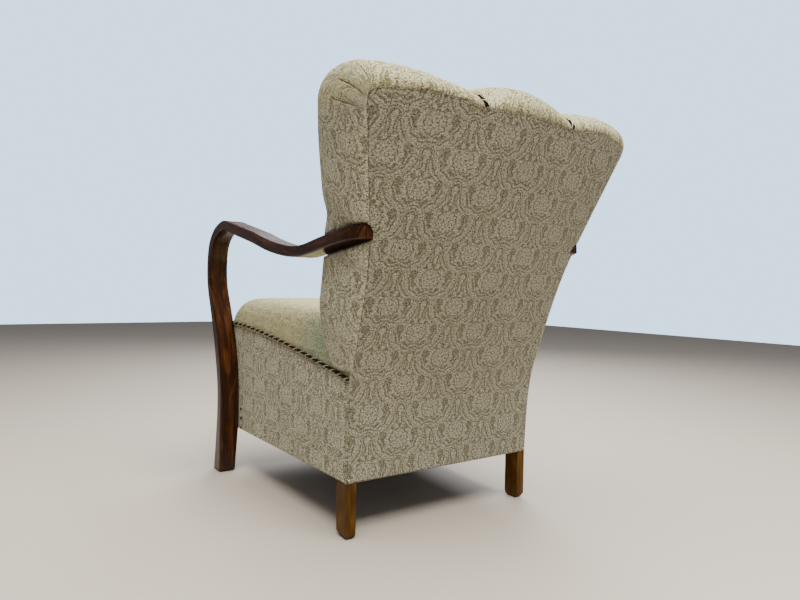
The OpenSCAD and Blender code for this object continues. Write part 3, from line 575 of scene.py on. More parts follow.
def cover(name, ground, figure, depth=1.0, shift=(0.0, 0.0), loose=1.0, stretch=1.0,
          bluish_patch=None, warm_light_from=None, sewn=False):
    """Damask in two tones on the piece's flat coordinates, with yarn flecks, a plain weave in
    relief and large faint patches of wear. Where given, it is darker and bluer round one place,
    tinted yellow above a height in metres as painted warm light, or sewn along the rim."""
    cloth = Finish(name, Sheen_Weight=0.06, Sheen_Roughness=0.5, Specular_IOR_Level=0.10)
    u, v = cloth.flat_mm()
    point, (px, py, pz) = cloth.place()
    wander, wander_2, ragged, ragged_2 = (
        cloth.uneven(cloth.vector(u + offset, v), scale, 1.0)
        for scale in (0.07, 0.45) for offset in (0.0, 400.0))
    x = u - shift[0] + wander * (6.0 * loose) + ragged * (3.6 * loose)
    y = v - shift[1] + wander_2 * (6.0 * loose) + ragged_2 * (3.6 * loose)
    drawn = damask(x, y)
    fleck = cloth.uneven(cloth.vector(u * (0.8 / stretch), v), 0.42, 1.0, 0.7)
    yarn_lump = cloth.uneven(cloth.vector(u * (1.0 / stretch), v * 0.8), 0.27, 2.0, 0.6)
    patches = cloth.uneven(point, 5.0, 3.0, 0.6)
    tone = cloth.mix((drawn * depth * 0.68 + yarn_lump * 1.6 + 0.08).clipped(), ground, figure)
    speck = (1.0 + fleck * 3.6) * (1.0 + patches * 0.25)
    tone = cloth.mix(1.0, tone, cloth.vector(speck, speck, speck), "MULTIPLY")
    # Where given, the colour is darker and bluer round one place, most at its middle.
    if bluish_patch is not None:
        (sx, sy, sz), size, colour = bluish_patch
        away = root_of_squares(root_of_squares(px - sx, py - sy), pz - sz) / size
        bluish_share = ((1.15 - away) * (1.0 + patches * 1.2)).clipped()
        tone = cloth.mix(bluish_share, tone, colour, "MULTIPLY")
    # Painted warm light: above the given height the colour is tinted yellow, where the light falls
    # warm on the crest.
    if warm_light_from is not None:
        painted_warm_light = ((pz - warm_light_from) * 40.0).clipped()
        tone = cloth.mix(painted_warm_light, tone, WARM_LIGHT_TINT, "MULTIPLY")
    if sewn:
        thread = stitches(px, pz, u, v, wander, wander_2, ragged)
        tone = cloth.mix(thread * 0.8, tone, THREAD)
    weave = wave(u, WEAVE_PITCH) * wave(v, WEAVE_PITCH) * 0.5 + 0.5
    bump_fine = cloth.relief(weave * 0.5 + fleck, 0.0006, 0.55)
    bump_both = cloth.relief(1.0 - drawn, 0.0005, 0.6, bump_fine)
    return cloth.set(Base_Color=tone, Roughness=0.93 - drawn * 0.1, Normal=bump_both)


GROUND, FIGURE = (0.430, 0.415, 0.305), (0.145, 0.127, 0.070)
# The outside back has the same damask in colours about 0.7 times as bright: painted shade, for the
# back that stands in less light.
SHADED_BACK_GROUND, SHADED_BACK_FIGURE = (0.298, 0.286, 0.210), (0.103, 0.089, 0.051)
WORN_GROUND, WORN_FIGURE = (0.46, 0.43, 0.237), (0.20, 0.172, 0.08)
# The seat is darker and bluer round a place near its rear left corner.
BLUISH_PATCH_AT, BLUISH_PATCH_SIZE, BLUISH_PATCH_TINT = (0.262, 0.10, 0.385), 0.11, (0.62, 0.80, 0.92)
# The outside back's cover gets the darker colours of painted shade.
cloth_back = cover("damask_back", SHADED_BACK_GROUND, SHADED_BACK_FIGURE, shift=(128.3, 654.0), sewn=True)
cloth_side = cover("damask_side", GROUND, FIGURE, 1.1, shift=(40.0, 20.0), loose=2.8, stretch=1.6)
# The channels get painted warm light above 0.80 m, along the crest.
cloth_channel = cover("damask_channel", GROUND, FIGURE, 1.05, loose=1.8, warm_light_from=0.80)
cloth_seat = cover("damask_seat", WORN_GROUND, WORN_FIGURE, 0.8, loose=2.2,
                   bluish_patch=(BLUISH_PATCH_AT, BLUISH_PATCH_SIZE, BLUISH_PATCH_TINT))
print("cover materials:", [m.name for m in bpy.data.materials if m.name.startswith("damask")])

# %% [markdown]
# ## Wood, cord, metal and the hidden webbing
# The arms are bent walnut under a clear polish: brown bands that follow the bend, fine dark
# pores, and a warm red where the light reaches the polish. Straight grain could be one stretched
# noise; two are used, so that the broad figure and the fine pores keep their own scales.


# %% Wood materials
def wood(name, dark, mid, light, coat, rough, along="upright"):
    """Grain as noise stretched along the piece: broad figure, streaks and pores. It follows the
    piece's flat pattern or runs upright."""
    timber = Finish(name, Coat_Weight=coat, Coat_Roughness=0.12, Specular_IOR_Level=0.10)
    across_grain, depth_grain, along_grain = (part * 1000.0 for part in timber.place()[1])
    if along == "flat":
        depth_grain = across_grain
        across_grain, along_grain = timber.flat_mm()

    def grain(wide, long, deep, *noise):
        return timber.noise(timber.vector(across_grain * wide, along_grain * long,
                                          depth_grain * deep), 1.0, *noise)

    broad = grain(0.035, 0.006, 0.01, 3.0, 0.55, 1.6)
    streak = grain(0.35, 0.012, 0.2, 3.0, 0.6, 0.4)
    pore = grain(1.6, 0.05, 1.2, 1.0, 0.5)
    figure = timber.node("ShaderNodeValToRGB", {
        "stops": [(0.30, dark), (0.52, mid), (0.74, light)]}, {0: broad * 0.55 + streak * 0.45})
    holes = ((0.42 - pore) * 6.0).clipped()
    tone = timber.mix(holes * 0.55, figure, tuple(c * 0.35 for c in dark))
    roughness = (rough + streak * 0.12 + holes * 0.15).clipped()
    return timber.set(Base_Color=tone, Roughness=roughness,
                      Normal=timber.relief(1.0 - holes, 0.0002, 0.35))


walnut = wood("polished_walnut", (0.005, 0.0014, 0.0003), (0.027, 0.0075, 0.0015),
              (0.13, 0.045, 0.008), 0.40, 0.36, along="flat")
foot_oak = wood("stained_foot", (0.020, 0.008, 0.001), (0.075, 0.031, 0.003),
                (0.16, 0.075, 0.010), 0.05, 0.45)
beech = wood("frame_beech", (0.20, 0.12, 0.06), (0.42, 0.28, 0.16), (0.58, 0.42, 0.26), 0.0, 0.65)


# %% Cord, metal and webbing
def yarn(name, one, two):
    """A twisted strand: fine slanted lines of fibre along the cord."""
    strand = Finish(name, Specular_IOR_Level=0.15)
    u, v = strand.flat_mm()
    fibre = (u * 1.6 + v * 1.1).sin() * 0.5 + 0.5
    fuzz = strand.noise(strand.vector(u, v), 1.2, 2.0)
    tone = strand.mix((fibre * 0.6 + fuzz * 0.5).clipped(), one, two)
    return strand.set(Base_Color=tone, Roughness=0.75 + fuzz * 0.2,
                      Normal=strand.relief(fibre + fuzz, 0.0002, 0.5))


def metal(name, tone, rough, metallic=1.0):
    """Metal with small scratches in its gloss and darker spots in its colour."""
    steel = Finish(name, Metallic=metallic)
    spots = steel.noise(steel.place()[0], 160.0, 3.0, 0.6)
    tint = steel.mix(((spots - 0.45) * 3.0).clipped(), tone, tuple(c * 0.55 for c in tone))
    return steel.set(Base_Color=tint, Roughness=(rough + (spots - 0.5) * 0.2).clipped(),
                     Normal=steel.relief(spots, 0.0001, 0.3))


def rough_weave(name, tone, pitch, depth=0.0005):
    """Open plain weave on Object coordinates: threads over and under along two directions."""
    jute = Finish(name)
    point, (px, py, pz) = jute.place()
    threads = wave(px * 1000.0, pitch) * wave((py + pz) * 1000.0, pitch) * 0.5 + 0.5
    fuzz = jute.noise(point, 900.0 / pitch, 3.0, 0.7)
    shade = (threads * 0.6 + fuzz * 0.6).clipped()
    tint = jute.mix(shade, tuple(c * 0.45 for c in tone), tone)
    return jute.set(Base_Color=tint, Roughness=0.75 + fuzz * 0.2,
                    Normal=jute.relief(threads + fuzz * 0.4, depth, 0.6))


cord_dark = yarn("cord_black", (0.004, 0.003, 0.002), (0.016, 0.010, 0.008))
cord_light = yarn("cord_cream", (0.34, 0.26, 0.16), (0.58, 0.48, 0.33))
black_iron = metal("black_iron", (0.006, 0.005, 0.004), 0.55, 0.1)
bright_nail = metal("bright_nail", (0.75, 0.74, 0.70), 0.25)
bolt_steel = metal("bolt_steel", (0.42, 0.41, 0.40), 0.35)
spring_steel = metal("spring_steel", (0.30, 0.27, 0.24), 0.40)
glide_black = metal("glide_black", (0.035, 0.032, 0.03), 0.5, 0.2)
jute = rough_weave("jute", (0.42, 0.31, 0.18), 3.0)
black_lining = rough_weave("dust_lining", (0.055, 0.05, 0.045), 1.6, 0.0002)
print("materials:", len(bpy.data.materials))

# %% [markdown]
# ## The arms
# Each arm is one laminated band: it starts at the back, runs level over the side, turns down
# round the front and ends as the front leg. It could be bent by a curve modifier. A section
# carried along the middle line by numpy keeps both faces at the right place against the seat, and
# gives the grain its own direction along the band.

# %% Middle line and width of an arm
ARM_Y1 = float(lean_y(ARM_END_Z)) + 2
LOOP_Y = LEG_Y + 22
ARM_RUN = ARM_Y1 - LOOP_Y
ARM_IN_FRONT, ARM_IN_REAR = float(side_x(FRONT_Y)) + GAP, 258.7
LEG_KNOTS = [(-8.6, -8, FOOT_D + 1), (-1, 0.93 * BOX_Z, 33), (3, BOX_Z + 62, 29),
             (0, BOX_Z + 127, 30), (-15, BOX_Z + 194, 33)]  # out from LEG_Y, height, thickness
LOOP_KNOTS = [(-39, -295, 31), (-64, -240, 27), (-94, -175, BAND_T), (-101, -124, BAND_T),
              (-95, -77, BAND_T), (-80, -49, BAND_T), (-50, -26, BAND_T), (-12, -13.5, BAND_T)]
REST_KNOTS = [(0.10, 0.28, 3), (0.28, 0.55, 3), (0.46, 0.85, 2), (0.64, 1, 0)]  # run, dip, extra
ARM_KNOTS = np.array([
    *((LEG_Y + y, z, thick) for y, z, thick in LEG_KNOTS),
    *((LEG_Y + y, ARM_Z + z, thick) for y, z, thick in LOOP_KNOTS),
    (LOOP_Y, ARM_Z - BAND_T / 2, BAND_T),
    *((LOOP_Y + run * ARM_RUN, lerp(ARM_Z, ARM_DIP_Z, dip), BAND_T + extra)
      for run, dip, extra in REST_KNOTS),
    (LOOP_Y + 0.82 * ARM_RUN, lerp(ARM_DIP_Z, ARM_END_Z, 0.48), BAND_T + 1),
    (ARM_Y1, ARM_END_Z, BAND_T + 2)])
END_BEVEL, END_OUT, END_IN, FOOT_Z, TIP = 36.0, 24.0, 9.0, 0.95 * BOX_Z, 1.2


def through(knots, steps):
    """A smooth line through the knots: each span blends its four nearest knots with cubics."""
    p = np.concatenate([knots[:1], knots, knots[-1:]])
    t = np.linspace(0, 1, steps, endpoint=False)[None, :, None]
    a, b, c, d = (p[k:len(p) - 3 + k, None] for k in range(4))
    line = 0.5 * (2 * b + (c - a) * t + (2 * a - 5 * b + 4 * c - d) * t ** 2
                  + (3 * b - a - 3 * c + d) * t ** 3)
    return np.concatenate([line.reshape(-1, p.shape[1]), knots[-1:]])


def arm_inner(y, z=1000.0):
    """Inner face of an arm: straight from front to rear, bevelled at the rear end, and set out
    to the narrower foot below the seat box."""
    face = lerp(ARM_IN_FRONT, ARM_IN_REAR, (y - FRONT_Y) / (ARM_Y1 - FRONT_Y))
    face = face + END_IN * clip((y - ARM_Y1 + 1.5 * END_IN) / (1.5 * END_IN))
    foot = lerp(ARM_IN_FRONT + ARM_W - FOOT_W, ARM_IN_FRONT - GAP, z / FOOT_Z)
    return np.where(z < FOOT_Z, np.maximum(foot, face), face)


def arm_outer(y):
    """Outer face of an arm, tapering from front to rear, with a long bevel at the rear end."""
    share = (y - FRONT_Y) / (ARM_Y1 - FRONT_Y)
    face = lerp(ARM_IN_FRONT, ARM_IN_REAR, share) + lerp(ARM_W, ARM_END_W, share)
    return face - END_OUT * clip((y - ARM_Y1 + END_BEVEL) / END_BEVEL)


def rounded_ring(turns=4, flats=6):
    """A rounded rectangle as numbers: where each point stands between the sides, from -1 to 1 in
    both directions, and the direction in which its corner is rounded."""
    corners = np.array([(1, 1), (-1, 1), (-1, -1), (1, -1)], float)[:, None, :]
    t = np.concatenate([np.zeros(turns + 1), np.arange(1, flats) / flats])[None, :, None]
    side = lerp(corners, np.roll(corners, -1, axis=0), t).reshape(-1, 2)
    k = np.arange(4)[:, None] + np.minimum(np.arange(turns + flats), turns)[None, :] / turns
    angle = (k * np.pi / 2).ravel()
    ring = np.concatenate([side, np.cos(angle)[:, None], np.sin(angle)[:, None]], 1)
    return np.concatenate([ring, ring[:1]])


def arm_patches(edge=3.2):
    """The band: a rounded rectangle whose height is the band's thickness, carried along the
    middle line square to it, cut level at the foot and upright at the rear end."""
    line = through(ARM_KNOTS, 9)
    along = unit(np.gradient(line[:, :2], axis=0))
    line = np.concatenate([line[:1], line[:-1], line[-1:] - [[TIP, 0, 0]], line[-1:]])
    along = np.concatenate([along[:1], along[:-1], along[-1:], along[-1:]])
    ring = rounded_ring()
    inset = np.zeros(len(line))
    inset[-1] = TIP
    half = line[:, 2:3] / 2 - inset[:, None]
    h = ring[:, 1] * (half - edge) + edge * ring[:, 3]
    y = np.minimum(line[:, 0:1] - h * along[:, 1:2], ARM_Y1)
    z = line[:, 1:2] + h * along[:, 0:1]
    low, high = arm_inner(y, z) + inset[:, None], arm_outer(y) - inset[:, None]
    x = (low + high) / 2 + ring[:, 0] * ((high - low) / 2 - edge) + edge * ring[:, 2]
    body = to_frame(points_of(x, y, np.maximum(z, GLIDE_T)))
    caps = [across(body[row], np.broadcast_to(body[row, :-1].mean(0), body[row].shape), 3)
            for row in (0, -1)]
    return [(body, flat_lengths(body, column=3)), (caps[0], caps[0][..., [0, 1]]),
            (caps[1], caps[1][..., [0, 2]])]


for side, patches in both_sides(arm_patches()).items():
    dress(weld(f"{side}_arm", patches), [walnut], [f"arm_{side}"])

# %% [markdown]
# ## Three channels
# Each channel of the back is a long pad in its own cover: crowned across, rolled over the crest
# and, on the outer two, over the side. Cloth simulation would round them, but the covers here
# are pulled tight and nailed, so their form is set by the seams. The formula keeps the seams, and
# the front sheet, the band round the edge and the hidden inside are patches of one closed skin.

# %% Formulas of the padding
CORNER, ROLL_X, ROLL_Z, SEAM_RX, SEAM_RZ = 0.1, 45.0, 75.0, 19.0, 37.0
EDGE_SIDE, EDGE_TOP, EDGE_RUN, PAD_GAP, BED_N = 105.0, 64.0, 170.0, 9.3, 51.5


def corner_in(x, z):
    """Rounds the upper outer corner: points near it are pulled in by a high power of height."""
    m = half_mid(z)
    px = clip((np.abs(x) - m) / (wide_x(z) - m))
    pz = clip((z - BOX_Z) / (crown_at(x) - BOX_Z))
    near = np.sqrt(1 - CORNER * pz ** 24)
    x_in = np.where(np.abs(x) > m, np.sign(x) * (m + (np.abs(x) - m) * near), x)
    return x_in, BOX_Z + (z - BOX_Z) * np.sqrt(1 - CORNER * 0.3 * px ** 8 * pz ** 8)


def over_back(x, z, n):
    """A point n in front of the outside back: level at the seat, square to the rake above."""
    k = ease((z - PAD_Z0) / RAKE_H)
    x, z = corner_in(x, z)
    return x, outside_y(x, z) - n * lerp(1, TILT_F, k), z + n * TILT_N * k


def bed_n(x, z):
    """Where the padding rests on webbing and hessian, measured from the outside back."""
    return BED_N + TILT_F * bow_at(z) * (1 - clip(np.abs(x) / back_x(z)) ** 2)


def low_roll(n, x, z):
    """Tucks the padding back to its bed over the lowest 100 mm, behind the seat."""
    return bed_n(x, z) + (n - bed_n(x, z)) * rounded((z - PAD_Z0) / 100)


def rim_n(x, z):
    """How far the widest line of a channel stands in front of the outside back."""
    return low_roll(lerp(EDGE_SIDE, EDGE_TOP, ease((z - crown_at(x)) / EDGE_RUN + 1)), x, z)


def crown_n(x, z):
    """Full height of a channel: thicker upwards, with a crease between two channels and a
    narrow groove in it for the cord."""
    m = half_mid(z)
    outer = 1 - clip((np.abs(x) - m) / (0.5 * (wide_x(z) - m)))
    crease = np.where(np.abs(x) <= m, np.abs(x) / m, outer) ** 2.4
    share = clip((z - PAD_Z0) / (SEAM_Z - 78 - PAD_Z0)) ** 0.7
    groove = 6 * bump(np.abs(x) - m, GROOVE_W)
    return low_roll(lerp(PAD_LOW, PAD_HIGH, share) - VALLEY * crease - groove, x, z)


def pad_n(x, z, full):
    """Height of a channel, from its widest line at full = 0 to its crown at full = 1."""
    return rim_n(x, z) + (crown_n(x, z) - rim_n(x, z)) * full


def held_by_arm(x, y, z):
    """Presses the cover in where an arm's end is screwed to the back: beside the band it stays
    inside the inner face, and it comes out again within a few centimetres."""
    line = through(ARM_KNOTS[-8:], 8)
    middle = np.interp(y, line[:, 0], line[:, 1])
    half = BAND_T / 2 + 2.0
    over, under = z - middle - half, middle - half - z
    away = np.hypot(np.maximum(np.maximum(over, under), 0), np.maximum(y - ARM_Y1, 0))
    reach = np.where(under > over, 15.0, 6.0)
    limit = arm_inner(np.minimum(y, ARM_Y1)) - 0.8 + 60 * (1 - np.exp(-away / reach))
    near = np.abs(x) - limit
    pressed = np.abs(x) - (near + np.sqrt(near ** 2 + 4)) / 2
    return np.sign(x) * np.where(np.abs(z - middle) < 90, pressed, np.abs(x)), y, z


def skin(x, z, n):
    """Points n in front of the outside back, pressed in beside the arms, in the frame."""
    return to_frame(points_of(*held_by_arm(*over_back(x, z, n))))


print("padding over the seat", round(float(crown_n(0.0, 460.0)), 1), "mm, at the crest",
      round(float(crown_n(0.0, 760.0)), 1), "mm")


# %% One channel as a closed skin
def around(grid):
    """The rim of a grid as one closed line: bottom, side, top, valley."""
    return np.concatenate([grid[0], grid[1:, -1], grid[-1, -2::-1], grid[-2::-1, 0]])


def channel_patches(outer):
    """Front sheet: columns from valley to side and rows from seat to crown, the last ones by
    angle, where a square of two angles is mapped to a disc so that the corner is a quarter of an
    ellipsoid. Band: a quarter of an ellipse from the rim back to the seam. Inside: the bed."""
    rows, q = (a[:, None] for a in round_end(np.linspace(0, 1, 100), 90))
    if outer:
        columns, p = (a[None] for a in round_end(np.linspace(0, 1, 48) ** 1.5, 90))
    else:
        columns = np.sin(np.linspace(-np.pi / 2, np.pi / 2, 65))[None]
        p = np.zeros((1, 65))
    p_disc, q_disc = to_disc(p, q)
    z = np.full((len(rows), columns.shape[1]), 500.0)
    x = np.full_like(z, MID_X)
    for _ in range(6):
        top = crown_at(x)
        z = lerp(PAD_Z0, top - ROLL_Z, rows) + ROLL_Z * q_disc
        if outer:
            m, w = half_mid(z) + GAP, wide_x(z)
            x = lerp(m, w - ROLL_X, columns) + ROLL_X * p_disc
        else:
            x = (half_mid(z) - GAP) * columns
    n = pad_n(x, z, np.sqrt(1 - p ** 2) * np.sqrt(1 - q ** 2))
    front = skin(x, z, n)
    flat = flat_lengths(front, column=0 if outer else 32)

    rx, rz, rn, rp, rq = (around(a + 0 * z) for a in (x, z, n, p_disc, q_disc))
    sx = rx - (wide_x(rz) - back_x(rz)) * rp
    sz = rz - (crown_at(rx) - seam_at(rx)) * rq
    b_in, s_in = back_x(sz) - PAD_GAP, seam_at(sx) - PAD_GAP
    inside_bed = (np.abs(sx) < b_in) & (sz < s_in)
    on_seam = around(np.maximum(p, q) + 0 * z) > 0.999
    ledge = np.where(inside_bed, bed_n(sx, sz), COVER_T + 2 * GAP)
    end_n = np.where(on_seam, 0.0, ledge)
    psi = np.linspace(np.pi / 2, 0, 25)[:, None]
    bx, bz = lerp(sx, rx, np.sin(psi)), lerp(sz, rz, np.sin(psi))
    bn = end_n + (rn - end_n) * (1 - np.cos(psi))
    puckers = folds(rp, rq, psi) if outer else 0.0
    edge = skin(bx - puckers * rp, bz - puckers * rq, bn)
    run = flat_lengths(edge)[..., 1]
    out = np.stack([rp, rq], -1) / np.maximum(np.hypot(rp, rq), 1e-6)[:, None]
    edge_flat = around(flat)[None] + out[None] * run[..., None]

    ix = np.clip(sx, -b_in, b_in)
    iz = np.minimum(sz, s_in)
    loops = [(sx, sz, end_n), (ix, iz, ledge), (ix, iz, bed_n(ix, iz))]
    cx, cz = (ix.min() + ix.max()) / 2, (iz.min() + iz.max()) / 2
    for t in (0.35, 0.7, 1.0):
        tx, tz = lerp(ix, cx, t), lerp(iz, cz, t)
        loops.append((tx, tz, bed_n(tx, tz)))
    inner = np.stack([skin(*loop) for loop in loops])
    return [(front, flat), (edge, edge_flat), (inner, inner[..., [0, 2]])]


PLEATS = ((69, 15, 40, 88, 4.8), (36.5, 9, 20, 92, 4.0), (11, -3, 90, 87, 3.6))


def folds(rp, rq, psi):
    """Three pleats at the outer corner, each at its own angle round the corner. A pleat is a
    tuck: it drops steeply on one side and rises slowly on the other, and fades at both ends.
    In degrees, each has where it starts, how far and over what turn it sweeps, and where it
    ends; then its depth."""
    angle = np.degrees(np.arctan2(rq, np.maximum(rp, 1e-9)))
    turn = np.degrees(psi)
    depth = np.zeros(np.broadcast(rp[None], psi).shape)
    for start, sweep, over, last, deep in PLEATS:
        off = angle - start - sweep * clip((over - turn) / over) ** 1.5
        steep, slow = np.exp(off / 0.7), np.exp(-off / 6.0)
        tuck = 0.45 * np.where(off < 0, steep, slow) + 0.95 * bump(off - 0.6, 0.9)
        fade = ease((last - turn) / 14) * ease((turn + 3) / 10)
        depth = depth + deep * tuck * fade * (np.maximum(rp, rq) > 0.02)
    return depth


back_pads = {**both_sides(channel_patches(True)), "middle": channel_patches(False)}
for part, patches in back_pads.items():
    dress(weld(f"{part}_channel", patches), [cloth_channel], [f"channel_{part}"])

# %% [markdown]
# ## The outside back
# One sheet of the damask closes the chair from behind. It is stretched over the bowed frame and
# sewn to the channels' covers with its edge turned under, so it is a thin pad with a rounded rim.
# Its flat pattern is measured along the curve of the back, which keeps the figure's size true.


# %% The outside back
def length_up_back(z):
    """Distance along the outside back, at its middle, from its lower edge to the height z."""
    steps = np.linspace(BOX_Z, 860, 600)
    run = np.hypot(np.diff(steps), np.diff(outside_y(0.0, steps)))
    return np.interp(z, steps, np.concatenate([[0], np.cumsum(run)]))


def sheet_patches(front, rear, flat):
    """Two grids of the same size, joined round their rims."""
    rim = across(around(front), around(rear))
    return [(front, flat), (rear, flat), (rim, np.stack([around(flat)] * 2))]


def outside_back_patches(edge=6.0, turn_in=2.6):
    """Rows up the back and columns across it, ending on the seam of the channels; near the rim
    the surface turns down by a quarter of an ellipse, and between it is a little slack."""
    even = np.concatenate([edge / 700 * np.linspace(0, 1, 7) ** 1.6,
                           np.linspace(edge / 700, 1, 142)[1:]])
    rows, q = (a[:, None] for a in round_end(even, 12))
    half, turn = round_end(np.linspace(0, 1, 56)[1:], 10)
    columns = np.concatenate([-half[::-1], [0], half])[None]
    p = np.concatenate([turn[::-1], [0], turn])[None]
    p_disc, q_disc = to_disc(p, q)
    x = np.zeros((rows.shape[0], columns.shape[1]))
    z = x + 500.0
    for _ in range(6):
        z = lerp(BOX_Z, seam_at(x) - SEAM_RZ, rows) + SEAM_RZ * q_disc
        x = (back_x(z) - SEAM_RX) * columns + SEAM_RX * np.sign(columns) * p_disc
    side_gap = (back_x(z) - np.abs(x)) / edge
    top_gap, low_gap = (seam_at(x) - z) / edge, (z - BOX_Z) / edge
    turned = rounded(side_gap) * rounded(top_gap) * rounded(low_gap)
    slack = 0.5 * np.sin(x / 47 + 0.6 * np.sin(z / 90)) * np.sin(z / 61 + 1.0) * turned
    front = skin(x, z, turn_in * (1 - turned) - slack)
    return sheet_patches(front, skin(x, z, COVER_T), np.stack([x, length_up_back(z)], -1) / 1000)


outside_back = weld("outside_back_cover", outside_back_patches())
dress(outside_back, [cloth_back], ["outside_back"])

# %% [markdown]
# ## Side and front panels
# Below the corded seam the sides and the front are flat covers over the rails. A flat box would
# show hard machine edges; real panels are turned under at the rim and a little proud between.


# %% Panels
SIDE_REAR_Z, FRONT_TOP = 315.0, CORD_FRONT_Z - SEAM_DROP
FRONT_HALF = float(side_x(FRONT_Y)) - GAP


def panel_patches(ends, top, place_point, edge=5.0, proud=1.6, turn_in=2.2):
    """A thin pad: rows from its lower edge to its top, columns from end to end, closer near the
    rim; the surface falls by a quarter of an ellipse at the rim and bulges slightly between."""
    near = np.linspace(0, 1, 7) ** 1.6 * 0.02
    even = np.concatenate([near, np.linspace(0.02, 0.98, 62)[1:-1], 1 - near[::-1]])
    t, s = np.meshgrid(even, even)
    first, last = ends(s)
    y = lerp(first, last, t)
    z = lerp(BOX_Z, top(y), s)
    reach, tall = np.minimum(y - first, last - y), np.minimum(z - BOX_Z, top(y) - z)
    turned = rounded(reach / edge) * rounded(tall / edge)
    swell = proud * np.sin(np.pi * t) ** 0.5 * np.sin(np.pi * s) ** 0.5
    ripple = 0.35 * np.sin(y / 37 + 1.3 * np.sin(z / 51)) * turned
    front, rear = (to_frame(points_of(*place_point(y, z, n)))
                   for n in (turn_in * (1 - turned) - swell - ripple, COVER_T))
    return sheet_patches(front, rear, np.stack([y, z], -1) / 1000)


def side_ends(s):
    """Front and rear end of a side cover at the share s of its height."""
    return (FRONT_Y + COVER_T + GAP - FRONT_LEAN * s,
            lean_y(lerp(BOX_Z, SIDE_REAR_Z, s)) - COVER_T - 2 * GAP)


def on_side(y, z, n):
    """A point n inside the side of the seat box."""
    return side_x(y) - n, y, z


def on_front(x, z, n):
    """A point n behind the leaning front of the seat box."""
    return x, FRONT_Y - FRONT_LEAN * (z - BOX_Z) / (FRONT_TOP - BOX_Z) + n, z


side_patches = panel_patches(side_ends, lambda y: cord_z(y) - SEAM_DROP, on_side)
for side, patches in both_sides(side_patches).items():
    dress(weld(f"{side}_side_cover", patches), [cloth_side],
          [f"side_panel_{side}"])
front_patches = panel_patches(lambda s: (-FRONT_HALF, FRONT_HALF), lambda x: FRONT_TOP, on_front,
                              proud=1.2)
dress(weld("front_cover", front_patches), [cloth_side], ["front_panel"])

# %% [markdown]
# ## The seat
# The seat is a sprung pad with a crowned top, a full front roll and square sides that come down
# to the cord. It ends against the channels, pressed a little where they meet, and its rear edge
# runs on below them. The line of contact is worked out from the channels' own formula.


# %% Seat pad
SIDE_POWER, REAR_DROP, CORD_BED, DIP, TOUCH = 11, 20.0, 3.0, 7.0, 0.8
POST_NEAR, POST_FAR, POST_FRONT_Y, BED_REAR_Y = 0.870, 0.9735, -41.0, 19.5


def channel_front_y(x, z):
    """Where the channels' front stands at the height z: their own formula, solved for the height
    on the outside back by repeated substitution."""
    z_on = np.maximum(z, PAD_Z0)
    for _ in range(12):
        n = pad_n(x, z_on, rounded((wide_x(z_on) - np.abs(x)) / ROLL_X))
        k = ease((z_on - PAD_Z0) / RAKE_H)
        z_on = np.maximum(z - n * TILT_N * k, PAD_Z0)
    return outside_y(x, z_on) - n * lerp(1, TILT_F, k)


def seat_top(y, u, most=1.0):
    """The height of the base on the cord, and that of the crown over it: a superellipse across,
    falling slowly to the rear, at most by the share that is given."""
    share = np.clip((y - SEAT_Y0) / (-PAD_LOW / 2 - SEAT_Y0), 0, most)
    base = cord_z(y) + CORD_BED
    return base, (lerp(SEAT_Z, SEAT_Z - REAR_DROP, share) - base) * across_shape(u)


def across_shape(u):
    """A superellipse: level in the middle, upright at both sides."""
    return np.sqrt(1 - np.abs(u) ** SIDE_POWER)


def seat_patches():
    """Top: the crown with a rolled front, pressed a little along the channels. Rear: down along
    them, then back below them, but never into the rear legs. The base is level with the
    hessian."""
    u = np.sin(np.linspace(-1, 1, 61) * np.pi / 2) * 0.45 + np.linspace(-1, 1, 61) * 0.55
    notch = np.array([POST_NEAR - 0.004, POST_NEAR, POST_FAR, POST_FAR + 0.004])
    u = np.unique(np.concatenate([u, notch, -notch]))[None]
    t = np.concatenate([np.linspace(0, 1, 26), np.ones(70)])[:, None]
    top_v = np.concatenate([0.12 * t[:26, 0] ** 2, np.linspace(0.12, 1, 71)[1:]])[:, None]
    y_end = np.full(u.shape, -PAD_LOW / 2)
    for _ in range(6):
        base, crown = seat_top(y_end, u, most=2.0)
        x_end = u * (side_x(y_end) - GAP)
        y_end = channel_front_y(x_end, base + crown - DIP) - TOUCH
    at_post = (np.abs(u) > POST_NEAR - 0.002) & (np.abs(u) < POST_FAR + 0.002)
    limit = np.where(at_post, POST_FRONT_Y, BED_REAR_Y)
    y_end = np.minimum(y_end, limit)
    y = lerp(SEAT_Y0, y_end, top_v)
    base, crown = seat_top(y, u)
    z = base + crown * np.sqrt(1 - (1 - t ** 2) ** 3)
    y = y - FRONT_LEAN * 4 * t * (1 - t) * (1 - u ** 6)
    z = z - DIP * bump(y_end - y, 11) * across_shape(u)
    top = points_of(u * (side_x(y) - GAP), y, z)
    low = PAD_Z0 - 1
    wall_z = lerp(np.maximum(z[-1], low), low, np.linspace(0, 1, 13)[1:, None])
    wall_x = top[-1, :, 0][None]
    wall_y = np.minimum(channel_front_y(wall_x, wall_z) - TOUCH, limit)
    under_y = lerp(wall_y[-1:], limit, np.linspace(0, 1, 7)[1:, None])
    under_x = u * (side_x(under_y) - GAP)
    upper = np.concatenate([top, points_of(wall_x, wall_y, wall_z),
                            points_of(under_x, under_y, low)])
    base_y = np.maximum(upper[..., 1], SEAT_Y0)
    lower = points_of(upper[..., 0], base_y, cord_z(base_y) - SEAM_DROP + GAP)
    upper = to_frame(upper)
    return sheet_patches(upper, to_frame(lower), flat_lengths(upper))


dress(weld("seat_cushion", seat_patches()), [cloth_seat], ["seat_pad"])

# %% [markdown]
# ## Cords
# A cord of two dark strands and a cream one covers the seam round the seat and lies in the two
# valleys of the back. Stripes on a plain tube would pass from afar, but three real strands wound
# round each other catch the light as a cord does.


# %% Twisted cords
CORD_R, CORD_PITCH, SEAT_CORD_SWELL = CORD_D / 2, 28.0, 0.4
STRANDS = ((0.0, 0.46, 0.58), (0.40, 0.46, 0.58), (0.70, 0.72, 0.28))
STRAND_COLOURS = [0, 0, 0, 0, 0, 0, 1, 1, 1]


